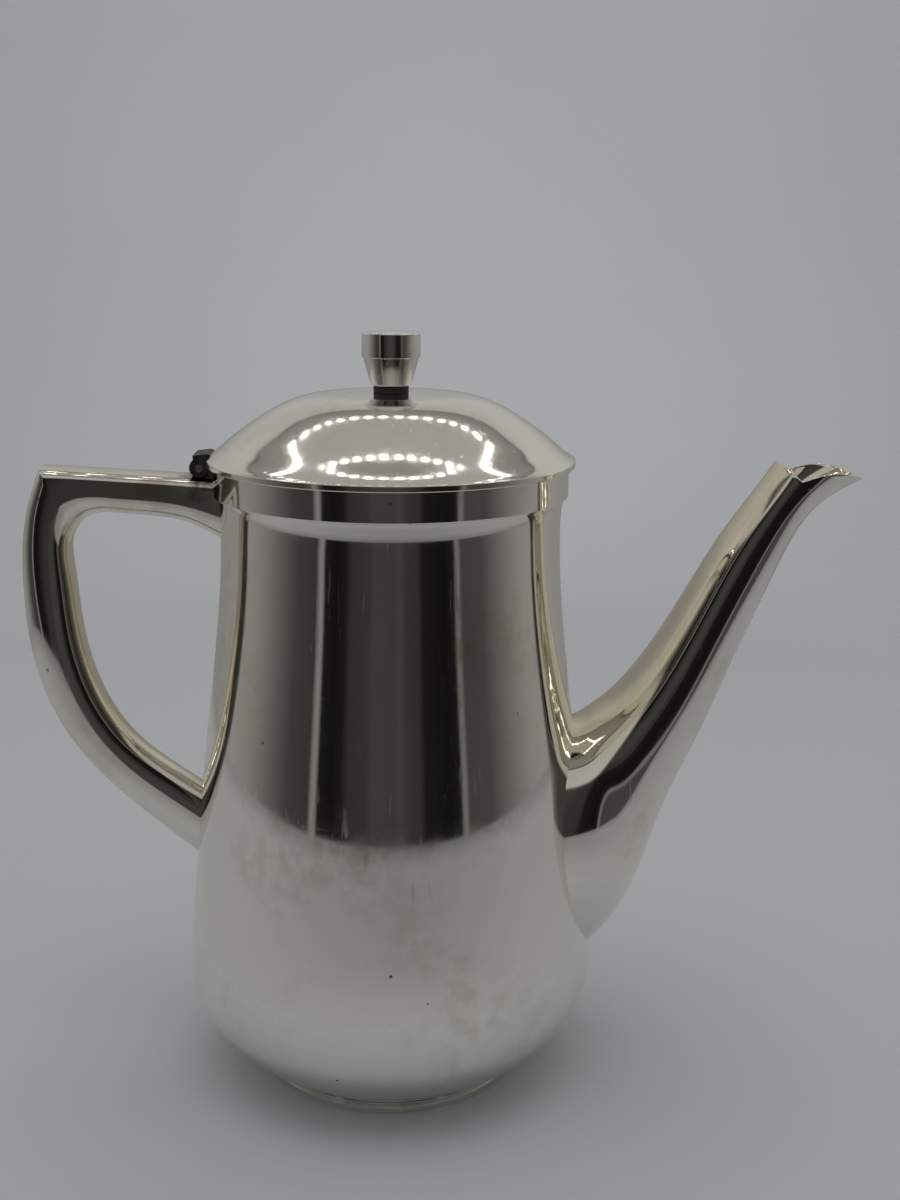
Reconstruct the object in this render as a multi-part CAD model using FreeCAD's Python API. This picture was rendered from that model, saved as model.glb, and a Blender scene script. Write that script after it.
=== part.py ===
"""Hinged coffee pot in silver-plated metal: every separate piece as its own solid.

Millimetres, +Z up. The origin is the centre of the foot ring's lower face, on the body's axis.
The handle points to -X and the spout to +X. The lid turns about a pin that runs along Y.
"""
import FreeCAD, Part

import math
import os

V = FreeCAD.Vector

# ---- walls and clearances ----
WALL = 1.0                # spun and stamped sheet
LID_SEAT_GAP = 0.3        # lid over the neck band
BEZEL_GAP = 0.5           # bezel inside the neck, each side
PIN_GAP = 0.05            # hinge pin in the pot's knuckle, radial
HINGE_GAP = 0.25          # between hinge pieces that turn past each other
STUD_GAP = 0.2            # stud in the lid's hole, radial
EDGE_BREAK = 0.4          # bevels and steps at turned edges

# ---- foot and body ----
FOOT_R = 35.1             # outer radius of the foot's bead
FOOT_BEAD_H = 2.0
FOOT_BEAD_T = 1.1         # bead past the recessed part above it
FOOT_WALL = 2.0
BASE_Z = 4.6              # lowest line of the body's bottom
BASE_RISE = 1.6           # the bottom is pushed up at its centre
BELLY_R = 53.7
BELLY_Z = 28.1
NECK_R = 42.9             # slimmest part, below the cove
COVE_H = 8.4              # from there up to the band
COVE_FLARE = 1.0          # the cove runs out by this much under the band
BAND_Z = 154.4            # lower edge of the neck band
BAND_H = 7.6
BAND_T = 0.8

# ---- lid ----
LID_OVERHANG = 1.6        # rim past the neck band
LID_RISE = 16.0           # from the rim's top to the crown
LID_EDGE_H = 1.5          # turned-down edge
LID_EDGE_T = 0.7
BEZEL_H = 7.5
BEZEL_T = 0.8
BEZEL_LEAD = 0.5          # bevel that guides the bezel into the neck

# ---- knob ----
WASHER_R = 4.4
WASHER_H = 1.9
KNOB_CONE_H = 7.0
KNOB_CONE_R = 5.0         # small end
KNOB_DRUM_R = 7.3
KNOB_DRUM_H = 6.3
KNOB_STEP = 0.3           # the drum stands out past the cone's top
KNOB_CROWN = 0.35         # the drum's top is slightly domed
STUD_R = 1.5
STUD_IN_KNOB = 8.0        # threaded length inside the knob
BACKING_R = 5.0
BACKING_T = 0.8
NUT_FLATS = 5.5
NUT_H = 2.4
STUD_END = 1.0            # stud past the nut

# ---- hinge ----
KNUCKLE_R = 2.4
HINGE_PIN_R = 1.0
HINGE_WIDTH = 10.0
POT_KNUCKLE_L = 3.4
PIN_OFFSET = 0.5          # knuckle to neck band
PIN_DROP = 2.4            # pin axis below the rim's top
PIN_HEAD = 0.25           # pin past each outer knuckle
BLOCK_SHARE = 0.7         # block's back face behind the pin, as a share of the knuckle's radius
LEAF_T = 1.1              # leaf above the rim's top
LEAF_ON_LID = 3.0         # leaf inwards from the rim
LEAF_END_T = 0.3          # leaf's thin end on the lid
LEAF_BACK = 0.6           # leaf's back face behind the pin, as a share of the knuckle's radius
LEAF_HOLD = 0.8           # where the leaf meets the knuckles, as a share of their radius

# ---- handle ----
HANDLE_REACH = 48.3       # neck band to the handle's back
HANDLE_DROP = 101.8       # top corner to where the back meets the body
HANDLE_CORNER_DROP = 2.7  # top corner below the rim's top
HANDLE_SLOPE = 2.5        # fall of the top face towards the pot
HANDLE_WIDTH = 13.5
HANDLE_OUTER_ROUND = 2.2
HANDLE_INNER_ROUND = 4.2

# ---- spout ----
SPOUT_FOOT_Z = 33.4
SPOUT_REACH = 75.0        # neck band to the beak's tip
SPOUT_TIP_DROP = 4.9      # beak's tip below the rim's top
SPOUT_WALL = 0.9
POUR_HOLE_R = 15.0
POUR_HOLE_Z = 62.0

# ---- worked out ----
FOOT_NECK_R = FOOT_R - FOOT_BEAD_T
NECK_Z = BAND_Z - COVE_H
COVE_R = NECK_R + COVE_FLARE
BAND_R = COVE_R + BAND_T
BAND_TOP = BAND_Z + BAND_H
LID_R = BAND_R + LID_OVERHANG
NECK_BORE = COVE_R - WALL
RIM_UNDER = BAND_TOP + LID_SEAT_GAP
RIM_TOP = RIM_UNDER + WALL
SPOUT_RISE = RIM_TOP - SPOUT_TIP_DROP - SPOUT_FOOT_Z
BASE_EDGE_Z = BASE_Z + 0.6 * BASE_RISE
PIN_X = -(BAND_R + PIN_OFFSET + KNUCKLE_R)
PIN_Z = RIM_TOP - PIN_DROP
CROWN_Z = RIM_TOP + LID_RISE
KNOB_Z = CROWN_Z + WASHER_H
DRUM_Z = KNOB_Z + KNOB_CONE_H
POT_TOP = DRUM_Z + KNOB_DRUM_H
FAR = 400.0               # longer than the pot, for cutting tools


def spline(points, start=None, end=None):
    """B-spline through the points, with its end directions where they are given."""
    curve = Part.BSplineCurve()
    if start is None:
        curve.interpolate(Points=points)
    else:
        curve.interpolate(Points=points, InitialTangent=start, FinalTangent=end)
    return curve


def offset_spline(curve, distance, count=40):
    """B-spline at a distance to the left of a curve that lies in the XZ plane."""
    first, last = curve.FirstParameter, curve.LastParameter
    points = []
    for i in range(count + 1):
        at = first + (last - first) * i / count
        along = curve.tangent(at)[0]
        points.append(curve.value(at) + V(-along.z, 0, along.x) * distance)
    return spline(points)


def line(a, b):
    """Straight edge from a to b."""
    return Part.LineSegment(a, b).toShape()


def polygon_edges(*points):
    """Straight edges from point to point, not closed."""
    return [line(a, b) for a, b in zip(points, points[1:])]


def spin(edges):
    """Solid of revolution about Z of the closed outline that the edges make."""
    face = Part.Face(Part.Wire(Part.__sortEdges__(edges)))
    return face.revolve(V(0, 0, 0), V(0, 0, 1), 360)


def spin_polygon(*points):
    """Solid of revolution of a closed polygon given as (radius, height) pairs."""
    corners = [V(r, 0, z) for r, z in points]
    return spin(polygon_edges(*corners, corners[0]))


def rod(radius, y0, y1, x=0.0, z=0.0):
    """Cylinder along Y from y0 to y1."""
    return Part.makeCylinder(radius, y1 - y0, V(x, y0, z), V(0, 1, 0))


def slab(points, y0, y1):
    """Plate with its outline in the XZ plane, from y0 to y1."""
    corners = [V(x, y0, z) for x, z in points]
    face = Part.Face(Part.makePolygon(corners + [corners[0]]))
    return face.extrude(V(0, y1 - y0, 0))


def half_space(side):
    """Box that fills the near (-1) or the far (+1) side of the centre plane."""
    y0 = -FAR if side < 0 else 0.0
    return Part.makeBox(2 * FAR, FAR, 2 * FAR, V(-FAR, y0, -FAR))


# ---- body, foot and band ----

def body_curves():
    """The body's outline from the axis under the bottom, round the belly, up to the neck."""
    tuck = BELLY_R - FOOT_NECK_R
    lift = BELLY_Z - BASE_Z
    bottom = spline([V(0, 0, BASE_Z + BASE_RISE),
                     V(0.6 * FOOT_NECK_R, 0, BASE_EDGE_Z),
                     V(FOOT_NECK_R, 0, BASE_Z),
                     V(FOOT_NECK_R + 0.34 * tuck, 0, BASE_Z + 0.11 * lift),
                     V(FOOT_NECK_R + 0.63 * tuck, 0, BASE_Z + 0.34 * lift),
                     V(FOOT_NECK_R + 0.88 * tuck, 0, BASE_Z + 0.63 * lift),
                     V(BELLY_R, 0, BELLY_Z)], V(1, 0, 0), V(0, 0, 1))
    slim = BELLY_R - NECK_R
    tall = NECK_Z - BELLY_Z
    side = spline([V(BELLY_R, 0, BELLY_Z),
                   V(BELLY_R - 0.17 * slim, 0, BELLY_Z + 0.20 * tall),
                   V(BELLY_R - 0.42 * slim, 0, BELLY_Z + 0.44 * tall),
                   V(BELLY_R - 0.80 * slim, 0, BELLY_Z + 0.73 * tall),
                   V(NECK_R, 0, NECK_Z)], V(0, 0, 1), V(0, 0, 1))
    cove = spline([V(NECK_R, 0, NECK_Z),
                   V(NECK_R + 0.25 * COVE_FLARE, 0, NECK_Z + 0.6 * COVE_H),
                   V(COVE_R, 0, BAND_Z)], V(0, 0, 1), V(0.4, 0, 1))
    return [bottom, side, cove]


def body_full():
    """The body as a filled solid, up to the top of the neck band."""
    edges = [curve.toShape() for curve in body_curves()]
    edges += polygon_edges(V(COVE_R, 0, BAND_Z), V(COVE_R, 0, BAND_TOP), V(0, 0, BAND_TOP),
                           V(0, 0, BASE_Z + BASE_RISE))
    return spin(edges)


def body_inside():
    """The space inside the body, open upwards."""
    curves = [offset_spline(curve, WALL) for curve in body_curves()]
    ends = [curve.value(curve.LastParameter) for curve in curves]
    starts = [curve.value(curve.FirstParameter) for curve in curves]
    edges = [curve.toShape() for curve in curves]
    mouth = V(NECK_BORE, 0, BAND_Z + WALL)
    floor_centre = V(0, 0, starts[0].z)
    edges += polygon_edges(ends[2], mouth, V(NECK_BORE, 0, BAND_TOP + WALL),
                           V(0, 0, BAND_TOP + WALL), floor_centre)
    return spin(edges)


def foot_ring(body):
    """Turned ring with a bead at its lower edge, fitted to the body's bottom."""
    bore = FOOT_NECK_R - FOOT_WALL
    top = BASE_EDGE_Z + WALL
    worn = FOOT_R - EDGE_BREAK
    ring = spin_polygon((bore, 0), (worn, 0), (FOOT_R, EDGE_BREAK), (FOOT_R, FOOT_BEAD_H - EDGE_BREAK),
                        (worn, FOOT_BEAD_H), (FOOT_NECK_R, FOOT_BEAD_H), (FOOT_NECK_R, top), (bore, top))
    return ring.cut(body)


def neck_band():
    """Straight band soldered round the neck."""
    return spin_polygon((COVE_R, BAND_Z), (BAND_R, BAND_Z), (BAND_R, BAND_TOP), (COVE_R, BAND_TOP))


# ---- spout ----

# Each station is a section across the spout: the point on its upper line and the point on its
# lower line, as shares of reach and rise, and the half width in millimetres.
SPOUT_STATIONS = [
    ((-0.140, 0.465), (-0.020, -0.060), 25.6),
    ((0.043, 0.476), (0.164, 0.033), 24.5),
    ((0.103, 0.496), (0.267, 0.138), 21.5),
    ((0.172, 0.529), (0.339, 0.266), 18.6),
    ((0.307, 0.630), (0.469, 0.448), 14.9),
    ((0.436, 0.763), (0.583, 0.614), 12.4),
    ((0.563, 0.894), (0.728, 0.822), 10.6),
    ((0.691, 1.004), (0.852, 0.946), 9.8),
    ((0.749, 1.064), (0.930, 0.978), 9.7),
    ((0.817, 1.164), (1.003, 0.998), 9.6),
]

# The rim of the mouth, seen from the side: back corner, notch, lip and tip.
SPOUT_RIM = [(0.718, 1.032), (0.769, 1.002), (0.825, 1.013), (0.885, 1.018), (0.940, 1.014),
             (0.975, 1.008), (1.000, 1.000)]


def spout_point(share):
    """Point in the centre plane at a share of the spout's reach and rise."""
    out, up = share
    return V(BAND_R + out * SPOUT_REACH, 0, SPOUT_FOOT_Z + up * SPOUT_RISE)


def spout_section(station, inset):
    """Closed elliptical wire at a station, drawn in by inset."""
    high = spout_point(station[0])
    low = spout_point(station[1])
    across = (high - low).normalize()
    high = high - across * inset
    low = low + across * inset
    width = station[2] - inset
    middle = (high + low) * 0.5
    depth = (high - low).Length / 2
    count = 12
    points = []
    for i in range(count):
        turn = 2 * math.pi * i / count
        points.append(middle + across * (depth * math.cos(turn)) + V(0, width * math.sin(turn), 0))
    curve = Part.BSplineCurve()
    curve.interpolate(Points=points, PeriodicFlag=True)
    return Part.Wire([curve.toShape()])


def spout_solid(inset):
    """Filled spout without its mouth, drawn in by inset on all sides."""
    return Part.makeLoft([spout_section(station, inset) for station in SPOUT_STATIONS], True)


def mouth_cutter():
    """Everything above the rim of the mouth."""
    rim = [spout_point(share) for share in SPOUT_RIM]
    lip = spline(rim[1:])
    high = SPOUT_FOOT_Z + 1.6 * SPOUT_RISE
    left = V(rim[0].x - SPOUT_REACH * 0.1, 0, rim[0].z + SPOUT_RISE * 0.05)
    right = rim[-1] + V(SPOUT_REACH * 0.4, 0, -SPOUT_RISE * 0.03)
    edges = [lip.toShape()]
    edges += polygon_edges(rim[-1], right, V(right.x, 0, high), V(left.x, 0, high), left, rim[0],
                           rim[1])
    face = Part.Face(Part.Wire(Part.__sortEdges__(edges)))
    face.translate(V(0, -FAR / 2, 0))
    return face.extrude(V(0, FAR, 0))


def spout_halves(body):
    """Two stamped halves that meet in the centre plane and sit on the body."""
    shell = spout_solid(0.0).cut(body).cut(mouth_cutter()).cut(spout_solid(SPOUT_WALL))
    return [largest(shell.common(half_space(side))) for side in (-1, 1)]


def pour_hole():
    """Tool for the round hole in the body's wall behind the spout."""
    return Part.makeCylinder(POUR_HOLE_R, FAR, V(0, 0, POUR_HOLE_Z), V(1, 0, 0))


def largest(shape):
    """The largest solid of a shape."""
    return max(shape.Solids, key=lambda solid: solid.Volume)


# ---- handle ----

HANDLE_BACK = [(0.880, 0.000), (0.952, 0.097), (1.000, 0.312), (0.946, 0.534), (0.758, 0.723),
               (0.398, 0.903), (0.157, 1.000), (-0.200, 1.140)]
HANDLE_FRONT = [(-0.200, 0.935), (0.130, 0.816), (0.451, 0.695), (0.689, 0.456), (0.737, 0.261),
                (0.727, 0.165), (0.644, 0.122), (0.437, 0.116), (0.128, 0.1375), (-0.060, 0.185)]


def handle_point(share):
    """Point in the centre plane at a share of the handle's reach and drop."""
    out, down = share
    corner_z = RIM_TOP - HANDLE_CORNER_DROP
    return V(-(BAND_R + out * HANDLE_REACH), 0, corner_z - down * HANDLE_DROP)


def handle_outline(inset):
    """Closed outline of the handle in the centre plane, drawn in by inset."""
    back = spline([handle_point(share) for share in HANDLE_BACK])
    front = spline([handle_point(share) for share in HANDLE_FRONT])
    corner = handle_point(HANDLE_BACK[0])
    arm_end = V(handle_point(HANDLE_FRONT[-1]).x, 0, corner.z - HANDLE_SLOPE)
    if inset > 0:
        back = offset_spline(back, inset)
        front = offset_spline(front, inset)
        corner = back.value(back.FirstParameter)
        arm_end = arm_end + V(0, 0, -inset)
    low_back = back.value(back.LastParameter)
    low_front = front.value(front.FirstParameter)
    high_front = front.value(front.LastParameter)
    edges = [back.toShape(), front.toShape()]
    edges += polygon_edges(low_back, low_front)
    edges += polygon_edges(high_front, arm_end, corner)
    return Part.Face(Part.Wire(Part.__sortEdges__(edges)))


def long_edges(solid):
    """The handle's long edges, as those of its top and back and those of its grip side."""
    top_z = handle_point(HANDLE_BACK[0]).z - HANDLE_SLOPE
    back_x = -(BAND_R + 0.9 * HANDLE_REACH)
    outer = []
    inner = []
    for edge in solid.Edges:
        box = edge.BoundBox
        if box.YLength > 0.01 or box.XLength < HANDLE_WIDTH:
            continue
        if box.XMin < back_x or box.ZMin > top_z - HANDLE_WIDTH / 4:
            outer.append(edge)
        else:
            inner.append(edge)
    return outer, inner


def handle_solid(inset):
    """Filled handle, drawn in by inset, with its long edges rounded."""
    width = HANDLE_WIDTH - 2 * inset
    outline = handle_outline(inset)
    outline.translate(V(0, -width / 2, 0))
    solid = outline.extrude(V(0, width, 0))
    outer = long_edges(solid)[0]
    solid = solid.makeFillet(HANDLE_OUTER_ROUND - inset, outer)
    inner = long_edges(solid)[1]
    return solid.makeFillet(HANDLE_INNER_ROUND - inset, inner)


def top_face_cutter():
    """Everything above a line one wall under the handle's top face."""
    corner = handle_point(HANDLE_BACK[0])
    end_x = handle_point(HANDLE_FRONT[-1]).x
    slope = HANDLE_SLOPE / (end_x - corner.x)
    x0, x1 = corner.x - HANDLE_WIDTH, end_x + HANDLE_WIDTH
    z0 = corner.z - WALL + slope * HANDLE_WIDTH
    z1 = corner.z - WALL - HANDLE_SLOPE - slope * HANDLE_WIDTH
    high = corner.z + HANDLE_WIDTH
    return slab([(x0, z0), (x1, z1), (x1, high), (x0, high)], -HANDLE_WIDTH, HANDLE_WIDTH)


def handle_halves(body, band):
    """Two hollow stamped halves that meet in the centre plane and end on the body."""
    cavity = handle_solid(WALL).cut(top_face_cutter())
    shell = handle_solid(0.0).cut(body).cut(band).cut(cavity)
    return [largest(shell.common(half_space(side))) for side in (-1, 1)]


# ---- lid ----

def crown_curve():
    """The lid's upper outline from the axis out to the rim: flat crown, shoulder and flank."""
    flank = spline([V(0, 0, CROWN_Z),
                    V(0.27 * LID_R, 0, CROWN_Z - 0.01 * LID_RISE),
                    V(0.45 * LID_R, 0, CROWN_Z - 0.05 * LID_RISE),
                    V(0.60 * LID_R, 0, CROWN_Z - 0.20 * LID_RISE),
                    V(0.75 * LID_R, 0, CROWN_Z - 0.46 * LID_RISE),
                    V(0.88 * LID_R, 0, CROWN_Z - 0.74 * LID_RISE),
                    V(LID_R, 0, RIM_TOP)], V(1, 0, 0), V(1, 0, -0.45))
    return flank


def lid_shell():
    """Spun lid: domed sheet, flat seat over the band and a turned-down edge."""
    top = crown_curve()
    under = offset_spline(top, -WALL)
    seat_r = BAND_R - BEZEL_T - 2 * BEZEL_GAP
    edge_in = LID_R - LID_EDGE_T
    hole = STUD_R + STUD_GAP
    edges = [top.toShape()]
    edges += polygon_edges(V(LID_R, 0, RIM_TOP), V(LID_R, 0, RIM_TOP - LID_EDGE_H),
                           V(edge_in, 0, RIM_TOP - LID_EDGE_H), V(edge_in, 0, RIM_UNDER),
                           V(0, 0, RIM_UNDER), V(0, 0, CROWN_Z))
    solid = spin(edges)
    edges = [under.toShape()]
    low = under.value(under.LastParameter)
    edges += polygon_edges(low, V(low.x, 0, RIM_UNDER - WALL), V(0, 0, RIM_UNDER - WALL),
                           V(0, 0, CROWN_Z - WALL))
    hollow = spin(edges)
    keep = spin_polygon((seat_r, RIM_UNDER - 2 * WALL), (FAR, RIM_UNDER - 2 * WALL),
                        (FAR, RIM_UNDER + WALL / 2), (seat_r, RIM_UNDER + WALL / 2))
    bore = Part.makeCylinder(hole, 2 * FAR, V(0, 0, -FAR))
    return solid.cut(hollow.cut(keep)).cut(bore)


def lid_bezel():
    """Ring under the lid that enters the neck."""
    outside = NECK_BORE - BEZEL_GAP
    inside = outside - BEZEL_T
    low = RIM_UNDER - BEZEL_H
    return spin_polygon((inside, low), (outside - EDGE_BREAK, low), (outside, low + BEZEL_LEAD),
                        (outside, RIM_UNDER), (inside, RIM_UNDER))


# ---- knob ----

def knob_washer():
    """Dark washer between the lid and the knob."""
    return spin_polygon((STUD_R, CROWN_Z), (WASHER_R, CROWN_Z), (WASHER_R, KNOB_Z), (STUD_R, KNOB_Z))


def knob_body():
    """Turned knob: a cone that widens to a drum, with a blind hole for the stud."""
    hole_top = KNOB_Z + STUD_IN_KNOB
    shoulder = KNOB_DRUM_R - KNOB_STEP
    edge = POT_TOP - KNOB_CROWN
    return spin_polygon((STUD_R, KNOB_Z), (KNOB_CONE_R, KNOB_Z), (shoulder, DRUM_Z),
                        (KNOB_DRUM_R, DRUM_Z), (KNOB_DRUM_R, edge - EDGE_BREAK),
                        (KNOB_DRUM_R - EDGE_BREAK, edge), (0, POT_TOP), (0, hole_top),
                        (STUD_R, hole_top))


def lid_under_crown():
    """Height of the lid's underside at the knob."""
    return CROWN_Z - WALL


def knob_backing_washer(lid):
    """Washer under the lid, on the stud, dished to the lid's underside."""
    high = lid_under_crown()
    washer = spin_polygon((STUD_R, high - BACKING_T), (BACKING_R, high - BACKING_T),
                          (BACKING_R, high), (STUD_R, high))
    return largest(washer.cut(lid))


def knob_nut():
    """Hexagon nut under the backing washer."""
    high = lid_under_crown() - BACKING_T
    corner = NUT_FLATS / math.sqrt(3)
    points = []
    for i in range(7):
        turn = math.radians(60 * i)
        points.append(V(corner * math.cos(turn), corner * math.sin(turn), high - NUT_H))
    nut = Part.Face(Part.makePolygon(points)).extrude(V(0, 0, NUT_H))
    return nut.cut(Part.makeCylinder(STUD_R, NUT_H, V(0, 0, high - NUT_H)))


def knob_stud():
    """Threaded stud from the knob down through the lid to the nut."""
    low = lid_under_crown() - BACKING_T - NUT_H - STUD_END
    return Part.makeCylinder(STUD_R, KNOB_Z + STUD_IN_KNOB - low, V(0, 0, low))


# ---- hinge ----

def knuckle(y0, y1, bore):
    """Tube round the hinge pin from y0 to y1."""
    tube = rod(KNUCKLE_R, y0, y1, PIN_X, PIN_Z)
    return tube.cut(rod(bore, y0, y1, PIN_X, PIN_Z))


def hinge_spans():
    """The knuckles' ends along Y: near, middle and far."""
    half = HINGE_WIDTH / 2
    inner = POT_KNUCKLE_L / 2
    return (-half, -inner - HINGE_GAP), (-inner, inner), (inner + HINGE_GAP, half)


def outer_knuckles_room(radius):
    """Tool that clears both of the lid's knuckles to a radius."""
    near, _, far = hinge_spans()
    room = rod(radius, near[0] - HINGE_GAP, near[1] + HINGE_GAP, PIN_X, PIN_Z)
    return room.fuse(rod(radius, far[0] - HINGE_GAP, far[1] + HINGE_GAP, PIN_X, PIN_Z))


def middle_knuckle_room(radius):
    """Tool that clears the pot's knuckle to a radius."""
    middle = hinge_spans()[1]
    return rod(radius, middle[0] - HINGE_GAP, middle[1] + HINGE_GAP, PIN_X, PIN_Z)


def hinge_pot_block():
    """Block on the handle's end and the band, under the pot's knuckle."""
    half = HINGE_WIDTH / 2
    left = PIN_X - BLOCK_SHARE * KNUCKLE_R
    right = -BAND_R + BAND_T
    low = handle_point(HANDLE_BACK[0]).z - 2 * HANDLE_SLOPE
    block = slab([(left, low), (right, low), (right, PIN_Z), (left, PIN_Z)], -half, half)
    block = block.cut(Part.makeCylinder(BAND_R, FAR))
    block = block.cut(rod(KNUCKLE_R, -half, half, PIN_X, PIN_Z))
    block = block.cut(outer_knuckles_room(KNUCKLE_R + HINGE_GAP))
    return largest(block.cut(handle_solid(0.0)))


def hinge_lid_leaf(lid):
    """Leaf soldered on the lid's rim, over the knuckles."""
    half = HINGE_WIDTH / 2
    top = RIM_TOP + LEAF_T
    left = PIN_X - LEAF_BACK * KNUCKLE_R
    right = -LID_R + LEAF_ON_LID
    leaf = slab([(left, PIN_Z + LEAF_HOLD * KNUCKLE_R), (left, top - EDGE_BREAK),
                 (-LID_R + LEAF_ON_LID / 4, top), (right, RIM_TOP + LEAF_END_T),
                 (right, RIM_TOP - LID_EDGE_H / 3), (-LID_R - LEAF_END_T, RIM_TOP - LID_EDGE_H)],
                -half, half)
    leaf = leaf.cut(lid)
    leaf = leaf.cut(middle_knuckle_room(KNUCKLE_R + HINGE_GAP))
    near, _, far = hinge_spans()
    leaf = leaf.cut(rod(KNUCKLE_R, near[0], near[1], PIN_X, PIN_Z))
    leaf = leaf.cut(rod(KNUCKLE_R, far[0], far[1], PIN_X, PIN_Z))
    return largest(leaf)


def hinge_pin():
    """Riveted pin through all the knuckles."""
    half = HINGE_WIDTH / 2 + PIN_HEAD
    return rod(HINGE_PIN_R, -half, half, PIN_X, PIN_Z)


def build():
    """Every piece by its node name."""
    body = body_full()
    band = neck_band()
    handles = handle_halves(body, band)
    spouts = spout_halves(body)
    near, middle, far = hinge_spans()
    lid = lid_shell().cut(middle_knuckle_room(KNUCKLE_R + HINGE_GAP))
    lid = lid.cut(outer_knuckles_room(KNUCKLE_R))
    parts = {
        "body_shell": body.cut(body_inside()).cut(pour_hole()),
        "foot_ring": foot_ring(body),
        "neck_band": band,
        "spout_near_half": spouts[0],
        "spout_far_half": spouts[1],
        "handle_near_half": handles[0],
        "handle_far_half": handles[1],
        "hinge_pot_block": hinge_pot_block(),
        "hinge_pot_knuckle": knuckle(middle[0], middle[1], HINGE_PIN_R + PIN_GAP),
        "hinge_pin": hinge_pin(),
        "hinge_lid_knuckle_near": knuckle(near[0], near[1], HINGE_PIN_R),
        "hinge_lid_knuckle_far": knuckle(far[0], far[1], HINGE_PIN_R),
        "hinge_lid_leaf": hinge_lid_leaf(lid),
        "lid_shell": lid,
        "lid_bezel": lid_bezel(),
        "knob_washer": knob_washer(),
        "knob_body": knob_body(),
        "knob_stud": knob_stud(),
        "knob_backing_washer": knob_backing_washer(lid),
        "knob_nut": knob_nut(),
    }
    return parts


os.makedirs("parts", exist_ok=True)
for name, shape in build().items():
    shape.exportStep("parts/" + name + ".step")
    print(name, len(shape.Solids), round(shape.Volume, 1), shape.isValid())
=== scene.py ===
"""Looks of a hinged, silver-plated coffee pot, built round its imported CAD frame.

Every sub-assembly is a class that holds its own sizes in millimetres, builds its surfaces as numpy
arrays and dresses them with a finish. Meshes are stored in metres, in the CAD frame: +Z up, the
handle to -X, the spout to +X, the origin at the centre of the foot.
"""

import logging
import math
from dataclasses import dataclass
from enum import Enum
from typing import Optional, Sequence, Union

import bpy
import numpy as np
from mathutils import Matrix, Vector


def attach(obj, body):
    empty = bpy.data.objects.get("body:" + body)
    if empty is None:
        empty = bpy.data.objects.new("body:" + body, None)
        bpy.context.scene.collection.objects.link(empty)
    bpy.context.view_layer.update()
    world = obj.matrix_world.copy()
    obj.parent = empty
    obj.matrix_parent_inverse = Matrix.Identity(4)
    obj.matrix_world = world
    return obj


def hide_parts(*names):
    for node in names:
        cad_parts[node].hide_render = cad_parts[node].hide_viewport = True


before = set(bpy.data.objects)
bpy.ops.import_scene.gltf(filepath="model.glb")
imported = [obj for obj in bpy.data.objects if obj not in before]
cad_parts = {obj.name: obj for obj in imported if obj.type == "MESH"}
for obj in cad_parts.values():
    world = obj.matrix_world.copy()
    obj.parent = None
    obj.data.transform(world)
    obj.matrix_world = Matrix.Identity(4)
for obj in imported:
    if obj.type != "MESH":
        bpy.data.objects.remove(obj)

LOG = logging.getLogger("coffee_pot")
MM = 0.001
MM_IN_METRE = 1000.0
SHARP_ANGLE = math.radians(40.0)
SEAT_SINK = 0.35  # how far spout and handle reach into the body, in millimetres
SEAM_GAP = 0.02  # between two turned pieces that sit on each other, in millimetres
BODY_STEPS = 256
LID_STEPS = 288
KNOB_STEPS = 144
WASHER_STEPS = 96
CUTTER_STEPS = 48

Fed = Union[float, Sequence[float], bpy.types.NodeSocket]


class Body(Enum):
    """The two rigid bodies of the pot."""

    POT = "pot"
    LID = "lid"


class Slot(Enum):
    """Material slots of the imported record."""

    BODY = "silver_body"
    LID = "silver_lid"
    SPOUT = "silver_spout"
    HANDLE = "silver_handle"
    TRIM = "silver_trim"
    KNOB = "silver_knob"
    HINGE = "tarnished_hinge"
    WASHER = "dark_washer"
    STEEL = "steel_fastener"


# ---------------------------------------------------------------- curves and surfaces

def smooth_curve(points: np.ndarray, samples: int, start: Optional[Sequence[float]] = None,
                 end: Optional[Sequence[float]] = None,
                 knots: Optional[np.ndarray] = None) -> np.ndarray:
    """Twice continuous cubic through the points, parametrised by chord length.

    The slope at every point solves the usual three-term system, in which each inner row balances
    the two neighbouring chords. An end either has its own direction or no curvature.

    Args:
        points: Array (n, ...) of points; the extra axes are carried along.
        samples: Number of points to return, evenly spaced in the parameter.
        start: Unit direction at the first point, if it is fixed.
        end: Unit direction at the last point, if it is fixed.
        knots: Parameters of the points, if they aren't the chord lengths.

    Returns:
        Array (samples, ...) along the curve.
    """
    points = np.asarray(points, float)
    count = len(points)
    flat = points.reshape(count, -1)
    if knots is None:
        knots = np.concatenate([[0.0], np.cumsum(np.linalg.norm(np.diff(flat, axis=0), axis=1))])
    step = np.diff(knots)
    chord = np.diff(flat, axis=0) / step[:, None]
    system = np.zeros((count, count))
    right = np.zeros_like(flat)
    inner = np.arange(1, count - 1)
    system[inner, inner - 1] = step[1:]
    system[inner, inner] = 2.0 * (step[:-1] + step[1:])
    system[inner, inner + 1] = step[:-1]
    right[1:-1] = 3.0 * (step[1:, None] * chord[:-1] + step[:-1, None] * chord[1:])
    for row, direction, beside, side in ((0, start, 1, 0), (count - 1, end, count - 2, -1)):
        if direction is None:
            system[row, row], system[row, beside] = 2.0, 1.0
            right[row] = 3.0 * chord[side]
        else:
            system[row, row] = 1.0
            right[row] = np.asarray(direction, float) / np.linalg.norm(direction)
    slope = np.linalg.solve(system, right)
    at = np.linspace(knots[0], knots[-1], samples)
    span = np.clip(np.searchsorted(knots, at, side="right") - 1, 0, count - 2)
    width = step[span][:, None]
    t = ((at - knots[span]) / step[span])[:, None]
    value = ((1 + 2 * t) * (1 - t) ** 2 * flat[span] + t * (1 - t) ** 2 * width * slope[span]
             + t * t * (3 - 2 * t) * flat[span + 1] + t * t * (t - 1) * width * slope[span + 1])
    return value.reshape((samples,) + points.shape[1:])


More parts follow.
